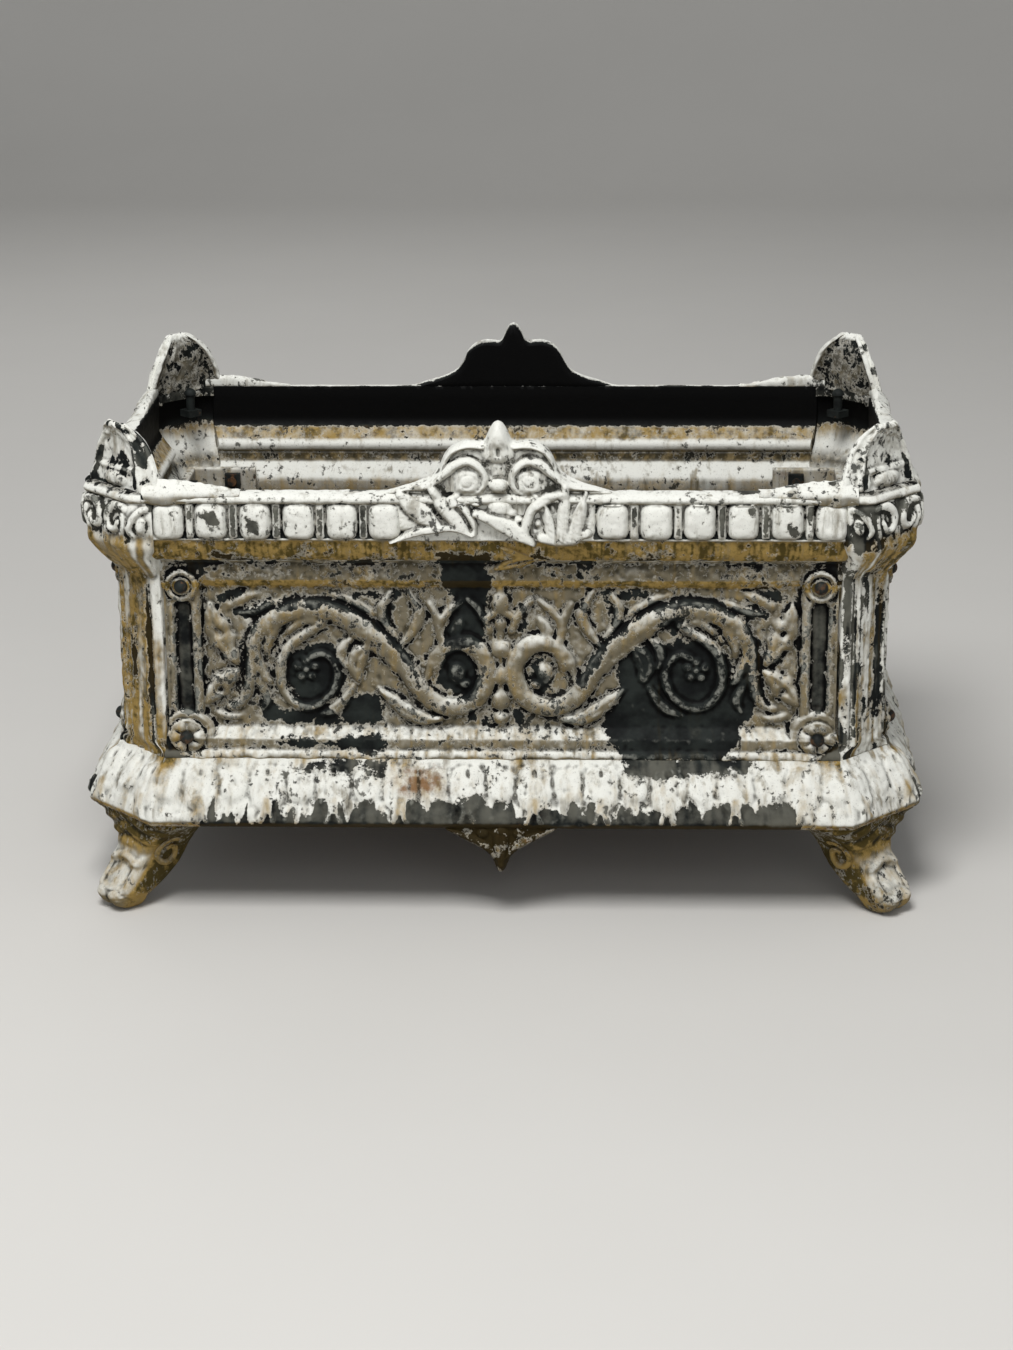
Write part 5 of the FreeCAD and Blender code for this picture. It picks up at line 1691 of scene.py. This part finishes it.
# %% Group: old paint
WHITE, DRAB, YELLOW = (0.745, 0.745, 0.69, 1), (0.175, 0.152, 0.104, 1), (0.315, 0.213, 0.066, 1)
GRIME_AND_SHADE, RUST, PALE = (0.02, 0.017, 0.009, 1), (0.22, 0.125, 0.06, 1), (0.48, 0.52, 0.48, 1)
OLIVE = (0.072, 0.052, 0.013, 1)
g, given, put = group("old_paint", [WHERE] + floats("Hollow", "Sky", "Ochre", "Bright", "Rust"), SURFACE)
broad = g.noise(given["Where"], 22.0, 4.0, 0.6)
small = g.noise(given["Where"], 120.0, 5.0, 0.62)
streak = g.noise(g.stretch(given["Where"], (1.0, 1.0, 0.16)), 95.0, 4.0, 0.6)
dust = g.noise(given["Where"], 700.0, 3.0, 0.6)
mottle = g.math("ADD", g.scaled(broad, 0.9, -0.45), g.scaled(small, 0.6, -0.3))
# Painted top light mixed with the paint's own white tone: faces that look upwards are made whiter.
white_tone_and_top_light = g.math("ADD", given["Bright"], g.scaled(given["Sky"], 0.85))
white_share = g.ramp(g.math("ADD", white_tone_and_top_light, mottle), 0.0, 0.9)
yellow_share = g.ramp(g.math("ADD", given["Ochre"], g.scaled(streak, 0.9, -0.55)), 0.0, 0.75)
colour = g.blend(white_share, DRAB, WHITE)
colour = g.blend(g.ramp(mottle, 0.2, 0.42), colour, PALE)
stained = g.math("MULTIPLY", g.ramp(streak, 0.5, 0.66), g.ramp(broad, 0.42, 0.62))
colour = g.blend(g.scaled(stained, 0.7), colour, DRAB)
# Where the Ochre mark is above 0.9 the yellow turns olive: partly stain and, on the flanks of the feet,
# painted shade.
deep = g.math("MAXIMUM", g.scaled(given["Ochre"], 0.42, -0.4), 0.0)
dark_stain_and_shade = g.math("ADD", g.math("ADD", small, g.scaled(broad, 0.6)), deep)
sheltered = g.blend(g.ramp(dark_stain_and_shade, 0.72, 0.98), YELLOW, OLIVE)
colour = g.blend(yellow_share, colour, sheltered)
rusty = g.ramp(g.math("ADD", given["Rust"], g.scaled(small, 1.2, -0.75)), 0.0, 0.5)
colour = g.blend(rusty, colour, RUST)
# Painted shade mixed with settled dirt: where the Hollow mark is high the paint is darkened.
settled_dirt_and_shade = g.math("MULTIPLY", g.ramp(given["Hollow"], 0.0, 0.7), g.ramp(small, 0.28, 0.58))
colour = g.blend(g.scaled(settled_dirt_and_shade, 0.88), colour, GRIME_AND_SHADE)
specks = g.ramp(dust, 0.58, 0.72)
colour = g.blend(g.scaled(specks, 0.4), colour, GRIME_AND_SHADE)
uneven = g.math("ADD", g.scaled(small, 0.6), g.scaled(dust, 0.25))
g.feed(put, {"Colour": colour, "Roughness": g.scaled(small, 0.25, 0.55), "Height": uneven})
old_paint = g.tree
print("old paint:", len(old_paint.nodes), "nodes")

# %% [markdown]
# ## Old iron
# Where the paint is gone the iron is nearly black, a little green and a little rusty. Raised places are
# made paler, partly as rubbed wear and partly as a painted highlight; where the Hollow mark is high the
# iron is painted near black as shade; and some stain of old paint stays. One group serves castings and
# hardware.

# %% Group: old iron
BLACK, GREEN, BROWN = (0.006, 0.007, 0.007, 1), (0.02, 0.024, 0.022, 1), (0.11, 0.055, 0.025, 1)
RUBBED_AND_HIGHLIGHT, CHALKY, PAINTED_SHADE_BLACK = (0.2, 0.203, 0.178, 1), (0.125, 0.122, 0.1, 1), (0.002, 0.002, 0.002, 1)
STAINED = (0.03, 0.02, 0.005, 1)
g, given, put = group("old_iron", [WHERE] + floats("Rust", "Hollow", "Bright", "Ochre"), SURFACE)
cloud = g.noise(given["Where"], 34.0, 5.0, 0.6)
grain = g.noise(given["Where"], 420.0, 4.0, 0.6)
scale = g.noise(given["Where"], 150.0, 6.0, 0.66)
colour = g.blend(g.ramp(cloud, 0.35, 0.68), BLACK, GREEN)
bloom = g.ramp(g.math("ADD", given["Rust"], g.scaled(scale, 1.6, -1.05)), 0.0, 0.4)
colour = g.blend(bloom, colour, BROWN)
# Painted shade: where the Hollow mark is high, in hollows, under the rim and on the backs of the crests, the
# iron is made near black.
colour = g.blend(g.ramp(given["Hollow"], 0.2, 0.9), colour, PAINTED_SHADE_BLACK)
# Painted highlight mixed with rubbed wear: raised places are made paler, as where light catches the relief.
rubbed_and_highlight = g.math("MULTIPLY", g.ramp(g.scaled(given["Hollow"], -1.0), 0.1, 0.8), g.ramp(scale, 0.4, 0.6))
colour = g.blend(g.scaled(rubbed_and_highlight, 0.95), colour, RUBBED_AND_HIGHLIGHT)
tint = g.ramp(g.math("ADD", given["Ochre"], g.scaled(cloud, 0.6, -0.3)), 0.35, 0.9)
colour = g.blend(g.scaled(tint, 0.85), colour, STAINED)
chalky = g.ramp(g.math("ADD", given["Bright"], g.scaled(cloud, 1.6, -1.3)), 0.1, 0.7)
colour = g.blend(g.scaled(chalky, 0.75), colour, CHALKY)
uneven = g.math("ADD", g.scaled(grain, 0.4), g.scaled(scale, 0.5))
g.feed(put, {"Colour": colour, "Roughness": g.scaled(scale, 0.4, 0.42), "Height": uneven})
old_iron = g.tree
print("old iron:", len(old_iron.nodes), "nodes")

# %% [markdown]
# ## Paint over iron
# All castings share one finish. It mixes paint and iron by the flaking mask, and the broken rim of the
# paint is a little paler, partly as chalk and partly as a painted highlight. The film of paint also lifts
# the surface by bump, so its edges catch light without any more faces.

# %% Painted castings
LIP_CHALK_AND_HIGHLIGHT = (0.62, 0.60, 0.53, 1)


def new_finish(name):
    """New material; gives it with its graph, its shader and the object coordinates."""
    material = bpy.data.materials.new(name)
    material.use_nodes = True
    g = Graph(material.node_tree)
    return material, g, g.tree.nodes["Principled BSDF"], g.node("ShaderNodeTexCoord", {}, "Object")


def painted_casting():
    """Paint over iron, shared by all castings; the marks on the mesh do the rest."""
    material, g, shader, where = new_finish("painted_casting_finish")
    values = {m.capitalize(): g.mark(m) for m in MARKS + ("sky",)}
    values["Where"] = where
    flakes, paint, iron = (g.effect(tree, values) for tree in (flaking, old_paint, old_iron))
    # Painted highlight mixed with chalk: the broken rim of the paint is made paler.
    edged = g.blend(g.scaled(flakes["Lip"], 0.45), paint["Colour"], LIP_CHALK_AND_HIGHLIGHT)
    share = g.node("ShaderNodeMix", {0: flakes["Iron"], 2: paint["Roughness"], 3: iron["Roughness"]}, 0)
    film = g.math("ADD", flakes["Film"], g.scaled(paint["Height"], 0.35))
    bump = g.node("ShaderNodeBump", {"Height": film, "Distance": 0.0007, "Strength": 0.9})
    bump = g.node("ShaderNodeBump", {"Height": iron["Height"], "Distance": 0.0003, "Strength": 0.6,
                                     "Normal": bump})
    g.feed(shader, {"Base Color": g.blend(flakes["Iron"], edged, iron["Colour"]), "Roughness": share,
                    "Normal": bump, "Specular IOR Level": 0.08})
    return material


finish = painted_casting()
for piece in castings:
    piece.data.materials.append(finish)
print("painted castings:", len(castings))

# %% [markdown]
# ## Unpainted hardware
# Bolts, nuts and the floor plate were never painted well: they are iron with rust bloom. They keep the
# solids of the packed model, and one function makes their finish from the same group. Each node gets its
# own amount of rust, because a bolt in the wet rusts more than a nut under the rim.

# %% Rusted hardware
def rusted_iron(name, rust):
    """Bare hardware: dark iron with rust bloom."""
    material, g, shader, where = new_finish(name)
    zones = g.noise(where, 18.0)
    iron = g.effect(old_iron, {"Where": where, "Rust": g.scaled(zones, 0.5, rust - 0.25)})
    bump = g.node("ShaderNodeBump", {"Height": iron["Height"], "Distance": 0.0005, "Strength": 0.8})
    g.feed(shader, {"Base Color": iron["Colour"], "Roughness": iron["Roughness"], "Normal": bump,
                    "Specular IOR Level": 0.15})
    return material


hardware = {"floor_plate": 0.45, "panel_bolts": 0.34, "panel_nuts": 0.15, "ear_bolts": 0.05,
            "ear_nuts": 0.08, "foot_bolts": 0.4}
for node, rust in hardware.items():
    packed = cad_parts[node]
    packed.data.materials.clear()
    packed.data.materials.append(rusted_iron(node + "_finish", rust))
print("rusted nodes:", list(hardware))

# %% [markdown]
# ## Floor
# A pale floor turns up into a backdrop behind the planter, as a sheet of paper does in a studio. A bend
# has no corner, so no line shows behind the object. It is one strip of faces along a bent profile.

# %% Floor
def floor_material():
    """Matt pale floor with faint clouds."""
    material, g, shader, where = new_finish("pale_floor")
    clouds = g.blend(g.noise(where, 3.0), (0.60, 0.585, 0.555, 1), (0.63, 0.615, 0.585, 1))
    g.feed(shader, {"Base Color": clouds, "Roughness": 0.9})
    return material


def floor_sheet(width=14.0, near=-5.0, far=4.0, rise=5.0, bend=1.5, columns=2, rows=40):
    """Floor that turns up into a backdrop: level, then a quarter circle, then upright."""
    t = np.linspace(0, math.pi / 2, rows)
    y = np.concatenate([[near], far + bend * np.sin(t), [far + bend]])
    z = np.concatenate([[0.0], bend - bend * np.cos(t), [rise]])
    x = np.linspace(-width / 2, width / 2, columns)
    points = np.stack([np.repeat(x, len(y)), np.tile(y, columns), np.tile(z, columns)], -1)
    index = np.arange(len(y) - 1)
    faces = np.stack([index, index + len(y), index + len(y) + 1, index + 1], -1)
    mesh = bpy.data.meshes.new("floor")
    mesh.from_pydata(points, [], faces.tolist())
    mesh.polygons.foreach_set("use_smooth", np.ones(len(faces), bool))
    mesh.materials.append(floor_material())
    floor = bpy.data.objects.new("floor", mesh)
    bpy.context.scene.collection.objects.link(floor)


floor_sheet()
print("floor:", len(bpy.data.meshes["floor"].polygons), "faces")

# %% [markdown]
# ## Lamps
# One large soft lamp overhead, with a weak fill in front and another behind, shows the relief without
# hard shadows. Daylight under a grey sky looks much the same. A dim room colour lifts the deepest
# hollows a little.

# %% Lamps
def soft_lamp(name, place_at, aim, size, power):
    """Square area lamp that looks at a point."""
    lamp = bpy.data.lights.new(name, "AREA")
    lamp.size = size
    lamp.energy = power
    holder = bpy.data.objects.new(name, lamp)
    holder.location = place_at
    holder.rotation_euler = (Vector(aim) - Vector(place_at)).to_track_quat("-Z", "Y").to_euler()
    bpy.context.scene.collection.objects.link(holder)


# name, place, point it looks at, size in metres, power in watts
LAMPS = [("overhead", (-0.4, -1.7, 3.05), (0, 0, 0.25), 1.3, 92.0),
         ("front_fill", (0.8, -3.4, 1.6), (0, 0, 0.3), 2.0, 16.0),
         ("rear_fill", (-0.9, 2.7, 2.4), (0, 0, 0.25), 2.0, 17.0)]
for lamp in LAMPS:
    soft_lamp(*lamp)
world = bpy.data.worlds.new("room")
world.use_nodes = True
room = world.node_tree.nodes["Background"].inputs
room["Color"].default_value = (0.96, 0.98, 1.0, 1)
room["Strength"].default_value = 0.3
bpy.context.scene.world = world
print("lamps:", [lamp.name for lamp in bpy.data.lights])

# %% [markdown]
# ## Camera
# The camera stands where the picture was taken: about 2.8 m away, a little right of the middle and 1.1
# m up, looking down by 18 degrees through a long lens. Its axes are worked out from three angles, so it
# can be set again exactly.

# %% Camera
CAMERA_AT = Vector((99.85, -2785.71, 1090.91)) * MM
YAW, PITCH, ROLL = -0.03661, 0.32069, -0.0075
FOCAL_PIXELS, PHOTO_WIDTH, SENSOR = 2900.0, 1013.0, 36.0
ahead = Vector((math.sin(YAW) * math.cos(PITCH), math.cos(YAW) * math.cos(PITCH), -math.sin(PITCH)))
right = Vector((math.cos(YAW), -math.sin(YAW), 0.0))
up = right.cross(ahead)
tilted_right = math.cos(ROLL) * right + math.sin(ROLL) * up
tilted_up = math.cos(ROLL) * up - math.sin(ROLL) * right
lens = bpy.data.cameras.new("camera")
lens.sensor_fit = "HORIZONTAL"
lens.sensor_width = SENSOR
lens.lens = FOCAL_PIXELS / PHOTO_WIDTH * SENSOR
camera = bpy.data.objects.new("camera", lens)
turned = Matrix((tilted_right, tilted_up, -ahead)).transposed().to_4x4()
camera.matrix_world = Matrix.Translation(CAMERA_AT) @ turned
bpy.context.scene.collection.objects.link(camera)
bpy.context.scene.camera = camera
bpy.context.scene.view_settings.view_transform = "Standard"
print("lens %.1f mm" % lens.lens)
